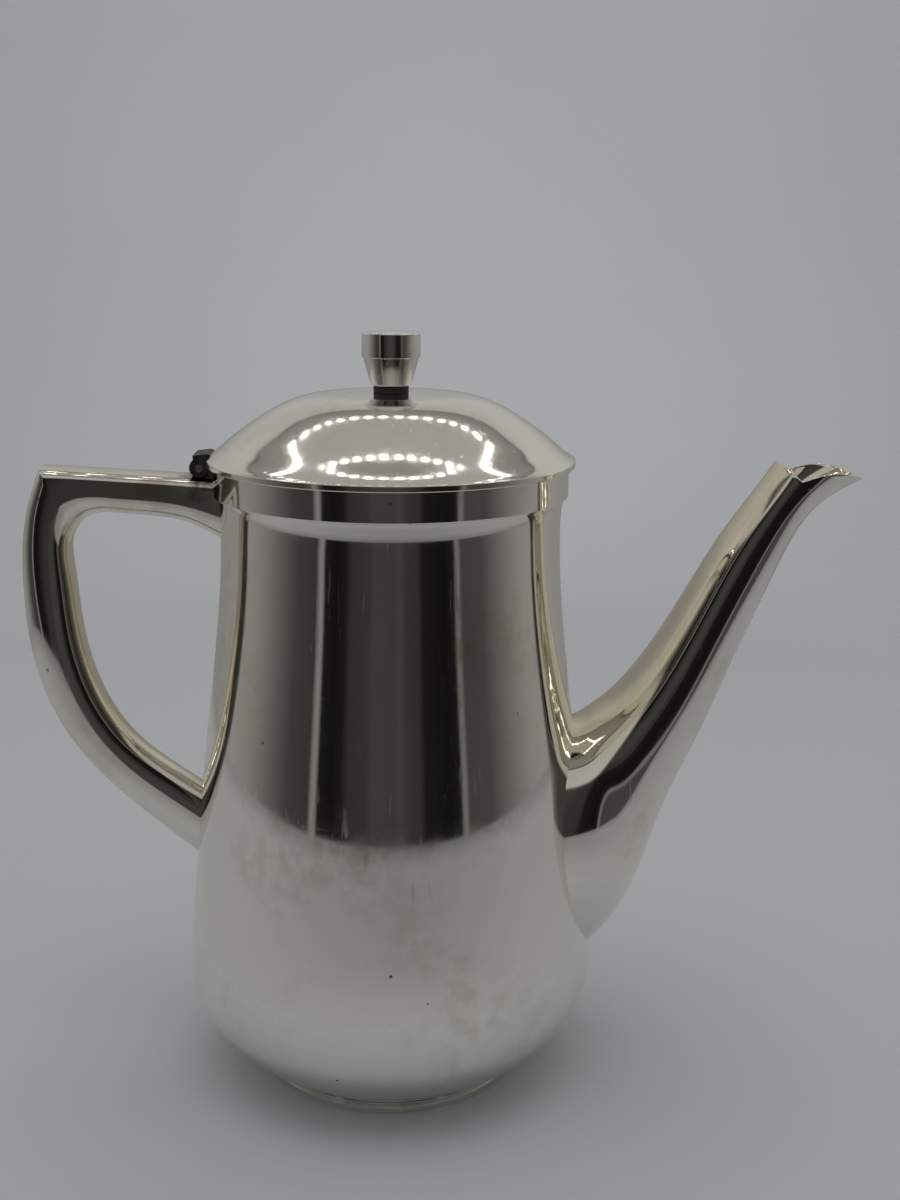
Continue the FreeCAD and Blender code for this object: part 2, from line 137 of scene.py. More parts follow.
def smooth_step(value: np.ndarray) -> np.ndarray:
    """The S-shaped blend 3 t squared less 2 t cubed, held at 0 and 1 outside that range.

    Args:
        value: Positions from 0 to 1.

    Returns:
        The blended values.
    """
    held = np.clip(value, 0, 1)
    return held * held * (3 - 2 * held)


def offset_profile(profile: np.ndarray, distance: float) -> np.ndarray:
    """A profile moved sideways by a distance, to the left of its direction of travel.

    Args:
        profile: Array (n, 2) of radius and height.
        distance: How far to move it, in the profile's units.

    Returns:
        Array (n, 2).
    """
    along = np.gradient(profile, axis=0)
    along = along / np.maximum(np.linalg.norm(along, axis=1), 1e-9)[:, None]
    return profile + distance * np.stack([-along[:, 1], along[:, 0]], axis=1)


def rounded(corners: Sequence[tuple[float, float, float]], closed: bool = True,
            steps: int = 5, support: float = 0.06) -> np.ndarray:
    """A polygon with its corners rounded by arcs, and a supporting point beside each arc.

    Each corner is cut back by its radius times the tangent of half the turn, and the arc is drawn
    as a quadratic blend between the two cut points. The supporting points keep the flat faces
    flat when the surface is shaded smooth.

    Args:
        corners: (radius from the axis, height, corner radius) for every corner.
        closed: Whether the last corner joins the first.
        steps: Number of spans in each arc.
        support: Distance of the supporting points from the arc.

    Returns:
        Array (n, 2) of points.
    """
    place = np.array([c[:2] for c in corners], float)
    sizes = np.array([c[2] for c in corners], float)
    out: list[np.ndarray] = []
    last = len(place) - 1
    blend = np.linspace(0.0, 1.0, steps + 1)[:, None]
    for i, here in enumerate(place):
        if (not closed and i in (0, last)) or sizes[i] <= 0:
            out.append(here[None])
            continue
        back, ahead = place[i - 1] - here, place[(i + 1) % (last + 1)] - here
        room = 0.45 * min(np.linalg.norm(back), np.linalg.norm(ahead))
        cut = min(sizes[i], room)
        back, ahead = back / np.linalg.norm(back), ahead / np.linalg.norm(ahead)
        first, final = here + back * cut, here + ahead * cut
        arc = (1 - blend) ** 2 * first + 2 * blend * (1 - blend) * here + blend ** 2 * final
        lead = min(support, 0.2 * room)
        out.append(np.vstack([first + back * lead, arc, final + ahead * lead]))
    return np.vstack(out)


@dataclass
class Surface:
    """Vertices in millimetres and the faces between them."""

    points: np.ndarray
    faces: list[list[int]]


def grid_faces(rows: int, columns: int, wrap_rows: bool, wrap_columns: bool) -> list[list[int]]:
    """Quads of a grid whose vertices are numbered row by row.

    Args:
        rows: Number of rows of vertices.
        columns: Number of vertices in a row.
        wrap_rows: Whether the last row joins the first.
        wrap_columns: Whether the last column joins the first.

    Returns:
        One list of four vertex numbers for each quad.
    """
    down = np.arange(rows if wrap_rows else rows - 1)[:, None]
    across = np.arange(columns if wrap_columns else columns - 1)[None, :]
    below = (down + 1) % rows
    beside = (across + 1) % columns
    quads = np.stack([down * columns + across, down * columns + beside,
                      below * columns + beside, below * columns + across], axis=-1)
    return quads.reshape(-1, 4).tolist()


def lathe(profile: np.ndarray, steps: int, closed: bool = False) -> Surface:
    """Surface of revolution about Z.

    Every point (r, z) of the profile becomes a ring r cos a, r sin a, z, with a from 0 to a full
    turn in equal steps. A point on the axis at either end of the profile closes the surface with a
    fan of triangles.

    Args:
        profile: Array (n, 2) of radius and height, in millimetres.
        steps: Number of vertices in a ring.
        closed: Whether the last ring joins the first.

    Returns:
        The surface.
    """
    poles = [profile[0, 0] < 1e-6, profile[-1, 0] < 1e-6]
    rings = profile[int(poles[0]):len(profile) - int(poles[1])]
    angle = np.linspace(0, 2 * np.pi, steps, endpoint=False)
    points = np.stack([rings[:, :1] * np.cos(angle), rings[:, :1] * np.sin(angle),
                       np.repeat(rings[:, 1:], steps, axis=1)], axis=-1).reshape(-1, 3)
    faces = grid_faces(len(rings), steps, closed, True)
    turn = np.arange(steps)
    for side, ring, flip in ((0, 0, False), (1, len(rings) - 1, True)):
        if not poles[side]:
            continue
        tip = len(points)
        points = np.vstack([points, [[0.0, 0.0, profile[-side, 1]]]])
        around = ring * steps + turn
        ahead = ring * steps + (turn + 1) % steps
        pair = (around, ahead) if flip else (ahead, around)
        faces += np.stack([pair[0], pair[1], np.full(steps, tip)], axis=1).tolist()
    return Surface(points, faces)


def make_object(name: str, surface: Surface, material: bpy.types.Material,
                smooth: bool = True) -> bpy.types.Object:
    """A mesh object at the origin, in metres, with outward faces.

    Args:
        name: Name of the object and its mesh.
        surface: Shape in millimetres.
        material: Its only material.
        smooth: Whether faces are shaded smooth, apart from edges sharper than the limit.

    Returns:
        The linked object.
    """
    mesh = bpy.data.meshes.new(name)
    mesh.from_pydata((surface.points * MM).tolist(), [], surface.faces)
    mesh.materials.append(material)
    mesh.update()
    if smooth:
        mesh.shade_smooth()
        mesh.set_sharp_from_angle(angle=SHARP_ANGLE)
    thing = bpy.data.objects.new(name, mesh)
    bpy.context.scene.collection.objects.link(thing)
    return thing


def carve(thing: bpy.types.Object, tool: Surface) -> None:
    """Cuts a tool's volume out of a piece and keeps the result as its mesh.

    Args:
        thing: The piece to cut.
        tool: Closed surface in millimetres.
    """
    cutter = make_object("carving_tool", tool, thing.data.materials[0])
    cut = thing.modifiers.new("cut", "BOOLEAN")
    cut.operation, cut.solver, cut.object = "DIFFERENCE", "EXACT", cutter
    bpy.context.view_layer.update()
    graph = bpy.context.evaluated_depsgraph_get()
    done = bpy.data.meshes.new_from_object(thing.evaluated_get(graph))
    thing.modifiers.remove(cut)
    thing.data = done
    thing.data.set_sharp_from_angle(angle=SHARP_ANGLE)
    tool_mesh = cutter.data
    bpy.data.objects.remove(cutter)
    bpy.data.meshes.remove(tool_mesh)


def rod_surface(radius: float, centre: tuple[float, float, float], half: float,
                axis: str, steps: int = 96) -> Surface:
    """Closed cylinder along X or Y, as rings along its axis with flat ends.

    Args:
        radius: Radius in millimetres.
        centre: Middle of the cylinder.
        half: Half of its length.
        axis: "X" or "Y".
        steps: Number of vertices in a ring.

    Returns:
        The surface.
    """
    outline = np.array([[0, -half], [radius, -half], [radius, half], [0, half]], float)
    upright = lathe(outline, steps)
    x, y, z = upright.points.T
    turned = np.stack([z, x, y] if axis == "X" else [y, z, x], axis=1)
    return Surface(turned + np.array(centre), upright.faces)


def settle(thing: bpy.types.Object, body: Body, nodes: Sequence[str] = ()) -> None:
    """Puts a piece on its body and the CAD nodes that it stands for.

    Args:
        thing: The piece.
        body: The body it rides on.
        nodes: CAD nodes it replaces.
    """
    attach(thing, body.value)
    if nodes:
        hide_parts(*nodes)
    LOG.info("%s: %d faces, on %s", thing.name, len(thing.data.polygons), body.value)


# ---------------------------------------------------------------- materials

class NodeSheet:
    """A node tree with short ways to add nodes and link them."""

    def __init__(self, tree: bpy.types.NodeTree) -> None:
        """Keeps the tree.

        Args:
            tree: The tree to fill.
        """
        self.tree = tree

    def add(self, kind: str, settings: Optional[dict[str, object]] = None,
            **inputs: Fed) -> bpy.types.Node:
        """Adds a node, sets its properties and feeds its inputs.

        Args:
            kind: Type name without the "ShaderNode" prefix, or a full type name.
            settings: Properties of the node.
            **inputs: Socket names with _ for spaces, or i0, i1 for a socket's number; each value
                is a constant or another node's output socket.

        Returns:
            The node.
        """
        full = kind if kind.startswith("Node") else "ShaderNode" + kind
        node = self.tree.nodes.new(full)
        for key, value in (settings or {}).items():
            setattr(node, key, value)
        for key, value in inputs.items():
            numbered = key[0] == "i" and key[1:].isdigit()
            socket = node.inputs[int(key[1:])] if numbered else node.inputs[key.replace("_", " ")]
            if isinstance(value, bpy.types.NodeSocket):
                self.tree.links.new(value, socket)
            else:
                socket.default_value = value
        return node

    def maths(self, operation: str, *values: Fed, clamp: bool = False) -> bpy.types.NodeSocket:
        """Adds a Math node.

        Args:
            operation: Name of the operation.
            *values: Constants or sockets for its inputs.
            clamp: Whether the result is kept from 0 to 1.

        Returns:
            Its output.
        """
        fed = {"i%d" % i: value for i, value in enumerate(values)}
        node = self.add("Math", {"operation": operation, "use_clamp": clamp}, **fed)
        return node.outputs[0]

    def ramp(self, value: bpy.types.NodeSocket, low: float, high: float) -> bpy.types.NodeSocket:
        """Maps a value smoothly from a range on to 0 to 1.

        Args:
            value: The socket to map.
            low: Value that gives 0.
            high: Value that gives 1.

        Returns:
            The mapped socket.
        """
        node = self.add("MapRange", {"interpolation_type": "SMOOTHSTEP"}, Value=value,
                        From_Min=low, From_Max=high)
        return node.outputs[0]

    def mix(self, share: Fed, first: Fed, second: Fed) -> bpy.types.NodeSocket:
        """Mixes two colours.

        Args:
            share: Share of the second, as a constant or a socket.
            first: First colour.
            second: Second colour.

        Returns:
            The mixed colour.
        """
        node = self.add("Mix", {"data_type": "RGBA"}, i0=share, i6=first, i7=second)
        return node.outputs[2]


def new_material(name: str) -> tuple[bpy.types.Material, NodeSheet]:
    """A material with an empty node tree.

    Args:
        name: Name of the material.

    Returns:
        The material and a sheet to fill it with.
    """
    material = bpy.data.materials.new(name)
    material.use_nodes = True
    material.node_tree.nodes.clear()
    return material, NodeSheet(material.node_tree)


def effect_group(name: str, outputs: Sequence[tuple[str, str]],
                 inputs: Sequence[tuple[str, float]]) -> tuple[bpy.types.NodeTree, NodeSheet]:
    """A new shader node group with its sockets and an input and an output node.

    Args:
        name: Name of the group.
        outputs: (name, socket type) of each output.
        inputs: (name, default) of each number that the group takes.

    Returns:
        The group and a sheet to fill it with.
    """
    group = bpy.data.node_groups.new(name, "ShaderNodeTree")
    group.interface.new_socket("Vector", in_out="INPUT", socket_type="NodeSocketVector")
    for title, default in inputs:
        socket = group.interface.new_socket(title, in_out="INPUT", socket_type="NodeSocketFloat")
        socket.default_value = default
    for title, kind in outputs:
        group.interface.new_socket(title, in_out="OUTPUT", socket_type=kind)
    return group, NodeSheet(group)


FLOAT = "NodeSocketFloat"


def scratches_group() -> bpy.types.NodeTree:
    """Hairline scratches: very stretched noise in two directions, thinned to lines.

    Returns:
        A group that gives a mask and a height.
    """
    group, sheet = effect_group("hairline_scratches", [("Mask", FLOAT), ("Height", FLOAT)],
                                [("Density", 1.0)])
    given = sheet.add("NodeGroupInput")
    lines = []
    for stretch, tilt, low, high in (((900.0, 900.0, 26.0), 0.05, 0.60, 0.74),
                                     ((1500.0, 1500.0, 60.0), -0.35, 0.63, 0.78),
                                     ((60.0, 60.0, 1700.0), 0.12, 0.66, 0.80)):
        moved = sheet.add("Mapping", None, Vector=given.outputs["Vector"],
                          Rotation=(tilt, tilt, 0.0), Scale=stretch)
        noise = sheet.add("TexNoise", None, Vector=moved.outputs[0], Scale=1.0, Detail=2.0)
        lines.append(sheet.ramp(noise.outputs["Fac"], low, high))
    patches = sheet.add("TexNoise", None, Vector=given.outputs["Vector"], Scale=45.0, Detail=2.0)
    where = sheet.ramp(patches.outputs["Fac"], 0.35, 0.65)
    both = sheet.maths("MAXIMUM", lines[0], sheet.maths("MULTIPLY", lines[1], 0.7))
    every = sheet.maths("MAXIMUM", both, sheet.maths("MULTIPLY", lines[2], 0.5))
    mask = sheet.maths("MULTIPLY", sheet.maths("MULTIPLY", every, where), given.outputs["Density"],
                       clamp=True)
    height = sheet.maths("SUBTRACT", 1.0, mask)
    sheet.add("NodeGroupOutput", None, Mask=mask, Height=height)
    return group


def tarnish_group() -> bpy.types.NodeTree:
    """Cloudy tarnish: broad soft noise broken up by finer noise.

    Returns:
        A group that gives a mask and a finer cloud.
    """
    group, sheet = effect_group("cloudy_tarnish", [("Mask", FLOAT), ("Cloud", FLOAT)],
                                [("Amount", 1.0)])
    given = sheet.add("NodeGroupInput")
    broad = sheet.add("TexNoise", None, Vector=given.outputs["Vector"], Scale=26.0, Detail=5.0,
                      Roughness=0.62)
    fine = sheet.add("TexNoise", None, Vector=given.outputs["Vector"], Scale=210.0, Detail=4.0,
                     Roughness=0.6)
    base = sheet.ramp(broad.outputs["Fac"], 0.48, 0.74)
    broken = sheet.maths("MULTIPLY", base, sheet.ramp(fine.outputs["Fac"], 0.30, 0.62))
    mask = sheet.maths("MULTIPLY", broken, given.outputs["Amount"], clamp=True)
    cloud = sheet.ramp(fine.outputs["Fac"], 0.35, 0.75)
    sheet.add("NodeGroupOutput", None, Mask=mask, Cloud=cloud)
    return group


def pits_group() -> bpy.types.NodeTree:
    """Pinhead pits: the middles of scattered cells, kept only where noise is high.

    Returns:
        A group that gives a mask.
    """
    group, sheet = effect_group("pinhead_pits", [("Mask", FLOAT)], [("Amount", 1.0)])
    given = sheet.add("NodeGroupInput")
    cells = sheet.add("TexVoronoi", None, Vector=given.outputs["Vector"], Scale=230.0)
    dots = sheet.maths("SUBTRACT", 1.0, sheet.ramp(cells.outputs["Distance"], 0.05, 0.13))
    picked = sheet.add("SeparateColor", None, Color=cells.outputs["Color"])
    few = sheet.ramp(picked.outputs[0], 0.93, 0.97)
    mask = sheet.maths("MULTIPLY", sheet.maths("MULTIPLY", dots, few), given.outputs["Amount"],
                       clamp=True)
    sheet.add("NodeGroupOutput", None, Mask=mask)
    return group


class Effects:
    """The node groups that the finishes share, made once."""

    def __init__(self) -> None:
        """Builds the groups."""
        self.scratches = scratches_group()
        self.tarnish = tarnish_group()
        self.pits = pits_group()


def near_point(sheet: NodeSheet, place: bpy.types.NodeSocket, centre: Sequence[float],
               reach: float) -> bpy.types.NodeSocket:
    """A ragged mask round a point, full close by and gone at its reach.

    Args:
        sheet: The material's sheet.
        place: Object coordinates in metres.
        centre: The point in millimetres.
        reach: Distance at which the mask ends, in millimetres.

    Returns:
        The mask.
    """
    away = sheet.add("VectorMath", {"operation": "DISTANCE"}, i0=place,
                     i1=tuple(c * MM for c in centre))
    noise = sheet.add("TexNoise", None, Vector=place, Scale=380.0, Detail=4.0)
    shifted = sheet.maths("MULTIPLY_ADD", noise.outputs["Fac"], 0.7 * reach * MM,
                          away.outputs["Value"])
    return sheet.maths("SUBTRACT", 1.0, sheet.ramp(shifted, 0.75 * reach * MM, 1.25 * reach * MM))


@dataclass(frozen=True)
class SilverFinish:
    """Polished silver plate with scratches, cloudy tarnish and pits.

    The faces that look along yellow_facing get a painted yellow reflection, and painted shade
    makes the metal black round the point black_at, in millimetres, as far as black_reach.
    """

    name: str
    colour: tuple[float, float, float] = (0.87, 0.85, 0.80)
    stain: tuple[float, float, float] = (0.50, 0.40, 0.25)
    painted_reflection_colour: tuple[float, float, float] = (0.72, 0.62, 0.36)
    painted_shade_colour: tuple[float, float, float] = (0.035, 0.03, 0.028)
    pit_colour: tuple[float, float, float] = (0.16, 0.12, 0.08)
    roughness: float = 0.045
    scratches: float = 1.0
    tarnish: float = 0.5
    pits: float = 1.0
    bump: float = 0.05
    yellow: float = 0.0
    yellow_facing: tuple[float, float, float] = (0.0, 0.0, 1.0)
    black_at: Optional[tuple[float, float, float]] = None
    black_reach: float = 10.0

    def make(self, effects: Effects) -> bpy.types.Material:
        """Builds the material.

        Args:
            effects: The shared node groups.

        Returns:
            The material.
        """
        material, sheet = new_material(self.name)
        place = sheet.add("TexCoord").outputs["Object"]
        worn = sheet.add("Group", {"node_tree": effects.scratches}, Vector=place,
                         Density=self.scratches)
        cloud = sheet.add("Group", {"node_tree": effects.tarnish}, Vector=place,
                          Amount=self.tarnish)
        pits = sheet.add("Group", {"node_tree": effects.pits}, Vector=place, Amount=self.pits)
        tarnish_and_painted_light = sheet.mix(cloud.outputs["Mask"], (*self.colour, 1.0), (*self.stain, 1.0))
        # Painted reflection: faces that look along yellow_facing are tinted yellow and darker.
        if self.yellow > 0:
            facing = sheet.add("NewGeometry").outputs["Normal"]
            toward = sheet.add("VectorMath", {"operation": "DOT_PRODUCT"}, i0=facing,
                               i1=self.yellow_facing)
            share = sheet.ramp(toward.outputs["Value"], 0.35, 0.95)
            broken = sheet.maths("MULTIPLY_ADD", cloud.outputs["Cloud"], -0.5, 1.0)
            share = sheet.maths("MULTIPLY", sheet.maths("MULTIPLY", share, broken), self.yellow)
            tarnish_and_painted_light = sheet.mix(share, tarnish_and_painted_light, (*self.painted_reflection_colour, 1.0))
        # Painted shade: the metal turns black round black_at, as far as black_reach.
        if self.black_at is not None:
            share = near_point(sheet, place, self.black_at, self.black_reach)
            tarnish_and_painted_light = sheet.mix(share, tarnish_and_painted_light, (*self.painted_shade_colour, 1.0))
        pitted = sheet.mix(pits.outputs["Mask"], tarnish_and_painted_light, (*self.pit_colour, 1.0))
        rough = sheet.maths("ADD", self.roughness,
                            sheet.maths("MULTIPLY", worn.outputs["Mask"], 0.20))
        rough = sheet.maths("ADD", rough, sheet.maths("MULTIPLY", cloud.outputs["Mask"], 0.10))
        rough = sheet.maths("ADD", rough, sheet.maths("MULTIPLY", cloud.outputs["Cloud"], 0.035))
        rough = sheet.maths("ADD", rough, sheet.maths("MULTIPLY", pits.outputs["Mask"], 0.4),
                            clamp=True)
        height = sheet.maths("SUBTRACT", worn.outputs["Height"],
                             sheet.maths("MULTIPLY", pits.outputs["Mask"], 2.0))
        bump = sheet.add("Bump", None, Strength=self.bump, Distance=0.00002, Height=height)
        shader = sheet.add("BsdfPrincipled", None, Base_Color=pitted, Roughness=rough,
                           Normal=bump.outputs[0], Metallic=1.0)
        sheet.add("OutputMaterial", None, Surface=shader.outputs[0])
        return material


@dataclass(frozen=True)
class PlainFinish:
    """A dull or dark surface with cloudy variation of colour, wear and a fine grain."""

    name: str
    colour: tuple[float, float, float]
    second: tuple[float, float, float]
    metallic: float = 0.0
    roughness: float = 0.5
    grain: float = 0.2

    def make(self, effects: Effects) -> bpy.types.Material:
        """Builds the material.

        Args:
            effects: The shared node groups.

        Returns:
            The material.
        """
        material, sheet = new_material(self.name)
        place = sheet.add("TexCoord").outputs["Object"]
        cloud = sheet.add("Group", {"node_tree": effects.tarnish}, Vector=place, Amount=1.0)
        worn = sheet.add("Group", {"node_tree": effects.scratches}, Vector=place, Density=1.0)
        share = sheet.maths("MAXIMUM", cloud.outputs["Cloud"], worn.outputs["Mask"])
        colour = sheet.mix(share, (*self.colour, 1.0), (*self.second, 1.0))
        rough = sheet.maths("ADD", self.roughness,
                            sheet.maths("MULTIPLY", cloud.outputs["Cloud"], 0.15), clamp=True)
        bump = sheet.add("Bump", None, Strength=self.grain, Distance=0.0001,
                         Height=cloud.outputs["Cloud"])
        shader = sheet.add("BsdfPrincipled", None, Base_Color=colour, Roughness=rough,
                           Normal=bump.outputs[0], Metallic=self.metallic)
        sheet.add("OutputMaterial", None, Surface=shader.outputs[0])
        return material


@dataclass(frozen=True)
class StageFinish:
    """Matt paint with a faint mottle, for the floor and the backdrop."""

    name: str
    colour: tuple[float, float, float]

    def make(self) -> bpy.types.Material:
        """Builds the material.

        Returns:
            The material.
        """
        material, sheet = new_material(self.name)
        place = sheet.add("TexCoord").outputs["Object"]
        noise = sheet.add("TexNoise", None, Vector=place, Scale=3.0, Detail=2.0)
        share = sheet.ramp(noise.outputs["Fac"], 0.3, 0.7)
        colour = sheet.mix(share, (*self.colour, 1.0), (*[0.97 * c for c in self.colour], 1.0))
        shader = sheet.add("BsdfPrincipled", None, Base_Color=colour, Roughness=0.9)
        shader.inputs["Specular IOR Level"].default_value = 0.1
        sheet.add("OutputMaterial", None, Surface=shader.outputs[0])
        return material


def glow_material(name: str, attribute: str) -> bpy.types.Material:
    """Emission whose colour is a colour attribute of the mesh.

    Args:
        name: Name of the material.
        attribute: Name of the colour attribute.

    Returns:
        The material.
    """
    material, sheet = new_material(name)
    painted = sheet.add("Attribute", {"attribute_name": attribute})
    shader = sheet.add("Emission", None, Color=painted.outputs["Color"], Strength=1.0)
    sheet.add("OutputMaterial", None, Surface=shader.outputs[0])
    return material


# ---------------------------------------------------------------- the pot's form

@dataclass(frozen=True)
class PotForm:
    """Sizes of the body, foot and neck in millimetres."""

    wall: float = 1.0
    foot_r: float = 35.1
    foot_bead_h: float = 2.0
    foot_neck_r: float = 34.0
    foot_wall: float = 2.0
    base_z: float = 4.6
    base_rise: float = 1.6
    belly_r: float = 53.7
    belly_z: float = 28.1
    neck_r: float = 42.9
    neck_z: float = 146.0
    cove_r: float = 43.9
    band_z: float = 154.4
    band_h: float = 7.6
    band_t: float = 0.8
    hole_r: float = 15.0
    hole_z: float = 62.0
    hole_half: float = 25.0

    @property
    def band_r(self) -> float:
        """Outer radius of the neck band."""
        return self.cove_r + self.band_t

    @property
    def band_top(self) -> float:
        """Height of the neck band's top."""
        return self.band_z + self.band_h

    def outline(self) -> tuple[np.ndarray, np.ndarray]:
        """The body's outer profile in two runs, bottom and side with cove.

        Returns:
            Arrays (n, 2) from the axis to the belly, and from the belly to the band's lower edge.
        """
        tuck, lift = self.belly_r - self.foot_neck_r, self.belly_z - self.base_z
        low = [(0.0, self.base_z + self.base_rise),
               (0.6 * self.foot_neck_r, self.base_z + 0.6 * self.base_rise),
               (self.foot_neck_r, self.base_z)]
        low += [(self.foot_neck_r + a * tuck, self.base_z + b * lift)
                for a, b in ((0.34, 0.11), (0.63, 0.34), (0.88, 0.63), (1.0, 1.0))]
        slim, tall = self.belly_r - self.neck_r, self.neck_z - self.belly_z
        side = [(self.belly_r - a * slim, self.belly_z + b * tall)
                for a, b in ((0.0, 0.0), (0.17, 0.20), (0.42, 0.44), (0.80, 0.73), (1.0, 1.0))]
        flare, rise = self.cove_r - self.neck_r, self.band_z - self.neck_z
        cove = [(self.neck_r + a * flare, self.neck_z + b * rise)
                for a, b in ((0.0, 0.0), (0.25, 0.6), (1.0, 1.0))]
        bottom = smooth_curve(np.array(low), 80, (1, 0), (0, 1))
        upright = smooth_curve(np.array(side), 90, (0, 1), (0, 1))
        flared = smooth_curve(np.array(cove), 14, (0, 1), (0.4, 1))
        return bottom, np.vstack([upright, flared[1:]])

    def radius_at(self, height: np.ndarray, band: bool = True) -> np.ndarray:
        """Outer radius at a height, above the foot.

        Args:
            height: Heights in millimetres.
            band: Whether the neck band counts.

        Returns:
            Radii in millimetres.
        """
        bottom, side = self.outline()
        whole = np.vstack([bottom[40:], side[1:]])
        found = np.interp(height, whole[:, 1], whole[:, 0])
        if band:
            found = np.where(height >= self.band_z, self.band_r, found)
        return found


class BodyAssembly:
    """The spun body, its foot ring and the neck band."""

    def __init__(self, form: PotForm) -> None:
        """Keeps the sizes.

        Args:
            form: The pot's form.
        """
        self.form = form
        self.pieces: dict[str, bpy.types.Object] = {}

    def wall_profile(self) -> np.ndarray:
        """The body's wall from the axis outside, over the rim and back to the axis inside.

        Returns:
            Array (n, 2).
        """
        form = self.form
        bottom, side = form.outline()
        bore = form.cove_r - form.wall
        rim = rounded([(form.cove_r, form.band_z + 0.5, 0), (form.cove_r, form.band_top, 0.25),
                       (bore, form.band_top, 0.25), (bore, form.band_z + form.wall, 0)],
                      closed=False)
        side_in = offset_profile(side, form.wall)
        side_in = side_in[side_in[:, 1] < form.band_z]
        bottom_in = offset_profile(bottom, form.wall)
        bottom_in[0, 0] = 0.0
        return np.vstack([bottom, side[1:], rim, side_in[::-1], bottom_in[-2::-1]])

    def build(self, silver: bpy.types.Material, trim: bpy.types.Material) -> None:
        """Builds body, foot and band.

        Args:
            silver: Finish of the body.
            trim: Finish of the foot and the band.
        """
        form = self.form
        shell = make_object("pot_body", lathe(self.wall_profile(), BODY_STEPS), silver)
        carve(shell, rod_surface(form.hole_r, (form.belly_r, 0, form.hole_z), form.hole_half, "X"))
        self.pieces["body_shell"] = shell
        bore = form.foot_neck_r - form.foot_wall
        bottom = form.outline()[0]
        under = np.interp([bore, form.foot_neck_r], bottom[:, 0], bottom[:, 1]) - SEAM_GAP
        foot = rounded([(bore, 0, 0.3), (form.foot_r, 0, 0.5), (form.foot_r, form.foot_bead_h, 0.6),
                        (form.foot_neck_r, form.foot_bead_h, 0.25),
                        (form.foot_neck_r, under[1], 0.1), (bore, under[0], 0.1)])
        turned = lathe(foot[::-1], BODY_STEPS, True)
        self.pieces["foot_ring"] = make_object("foot_ring_turned", turned, trim)
        band = rounded([(form.cove_r, form.band_z, 0.05), (form.band_r, form.band_z, 0.3),
                        (form.band_r, form.band_top, 0.3), (form.cove_r, form.band_top, 0.05)])
        rolled = lathe(band, BODY_STEPS, True)
        self.pieces["neck_band"] = make_object("neck_band_ring", rolled, trim)

    def dress(self) -> None:
        """Puts the pieces on the pot."""
        settle(self.pieces["body_shell"], Body.POT, ["body_shell"])
        settle(self.pieces["foot_ring"], Body.POT, ["foot_ring"])
        settle(self.pieces["neck_band"], Body.POT, ["neck_band"])


# ---------------------------------------------------------------- lofted pieces

class Loft:
    """A fine table of points along and around a lofted piece, cut to length column by column."""

    def __init__(self, table: np.ndarray) -> None:
        """Keeps the table.

        Args:
            table: Array (along, around, 3) in millimetres.
        """
        self.table = table

    def crossing(self, outside: np.ndarray, last: bool = False) -> np.ndarray:
        """Where each column passes from negative to positive, or the last such change back.

        Args:
            outside: Array (along, around), negative in the part to cut away.
            last: Whether to look from the far end.

        Returns:
            Fractional row of the crossing in every column.
        """
        rows = len(outside)
        values = outside[::-1] if last else outside
        sign = (values[:-1] < 0) & (values[1:] >= 0)
        first = np.argmax(sign, axis=0)
        columns = np.arange(values.shape[1])
        low, high = values[first, columns], values[first + 1, columns]
        at = first + np.clip(-low / np.maximum(high - low, 1e-9), 0, 1)
        at = np.where(sign.any(axis=0), at, 0.0)
        return rows - 1 - at if last else at

    def sample(self, at: np.ndarray) -> np.ndarray:
        """Points at fractional rows, straight between the table's own rows.

        Args:
            at: Array (rows, around) of fractional rows.

        Returns:
            Array (rows, around, 3).
        """
        at = np.clip(at, 0, len(self.table) - 1.001)
        low = np.floor(at).astype(int)
        share = (at - low)[..., None]
        column = np.arange(self.table.shape[1])[None, :]
        return self.table[low, column] * (1 - share) + self.table[low + 1, column] * share


@dataclass(frozen=True)
class SpoutForm:
    """Sizes of the spout in millimetres.

    Each station is the upper point and the lower point of a section, as shares of reach and rise,
    and its half width. The rim's points are shares too, from its back corner to the tip.
    """

    foot_z: float = 33.4
    reach: float = 75.0
    rise: float = 125.0
    wall: float = 0.9
    lip_round: float = 0.35
    lean: float = 0.14
    root_power: float = 2.2
    neck_power: float = 2.6
    back_run: float = 7.5
    back_rise: float = 6.2
    tip_run: float = 30.0
    stations: tuple = (
        ((-0.140, 0.465), (-0.020, -0.060), 25.6), ((0.043, 0.476), (0.164, 0.033), 24.5),
        ((0.103, 0.496), (0.267, 0.138), 21.5), ((0.172, 0.529), (0.339, 0.266), 18.6),
        ((0.307, 0.630), (0.469, 0.448), 14.9), ((0.436, 0.763), (0.583, 0.614), 12.4),
        ((0.563, 0.894), (0.728, 0.822), 10.6), ((0.691, 1.004), (0.852, 0.946), 9.8),
        ((0.749, 1.064), (0.930, 0.978), 9.7), ((0.817, 1.164), (1.003, 0.998), 9.6))
    rim: tuple = ((0.718, 1.032), (0.769, 1.002), (0.825, 1.013), (0.885, 1.018), (0.940, 1.014),
                  (0.975, 1.008), (1.000, 1.000))


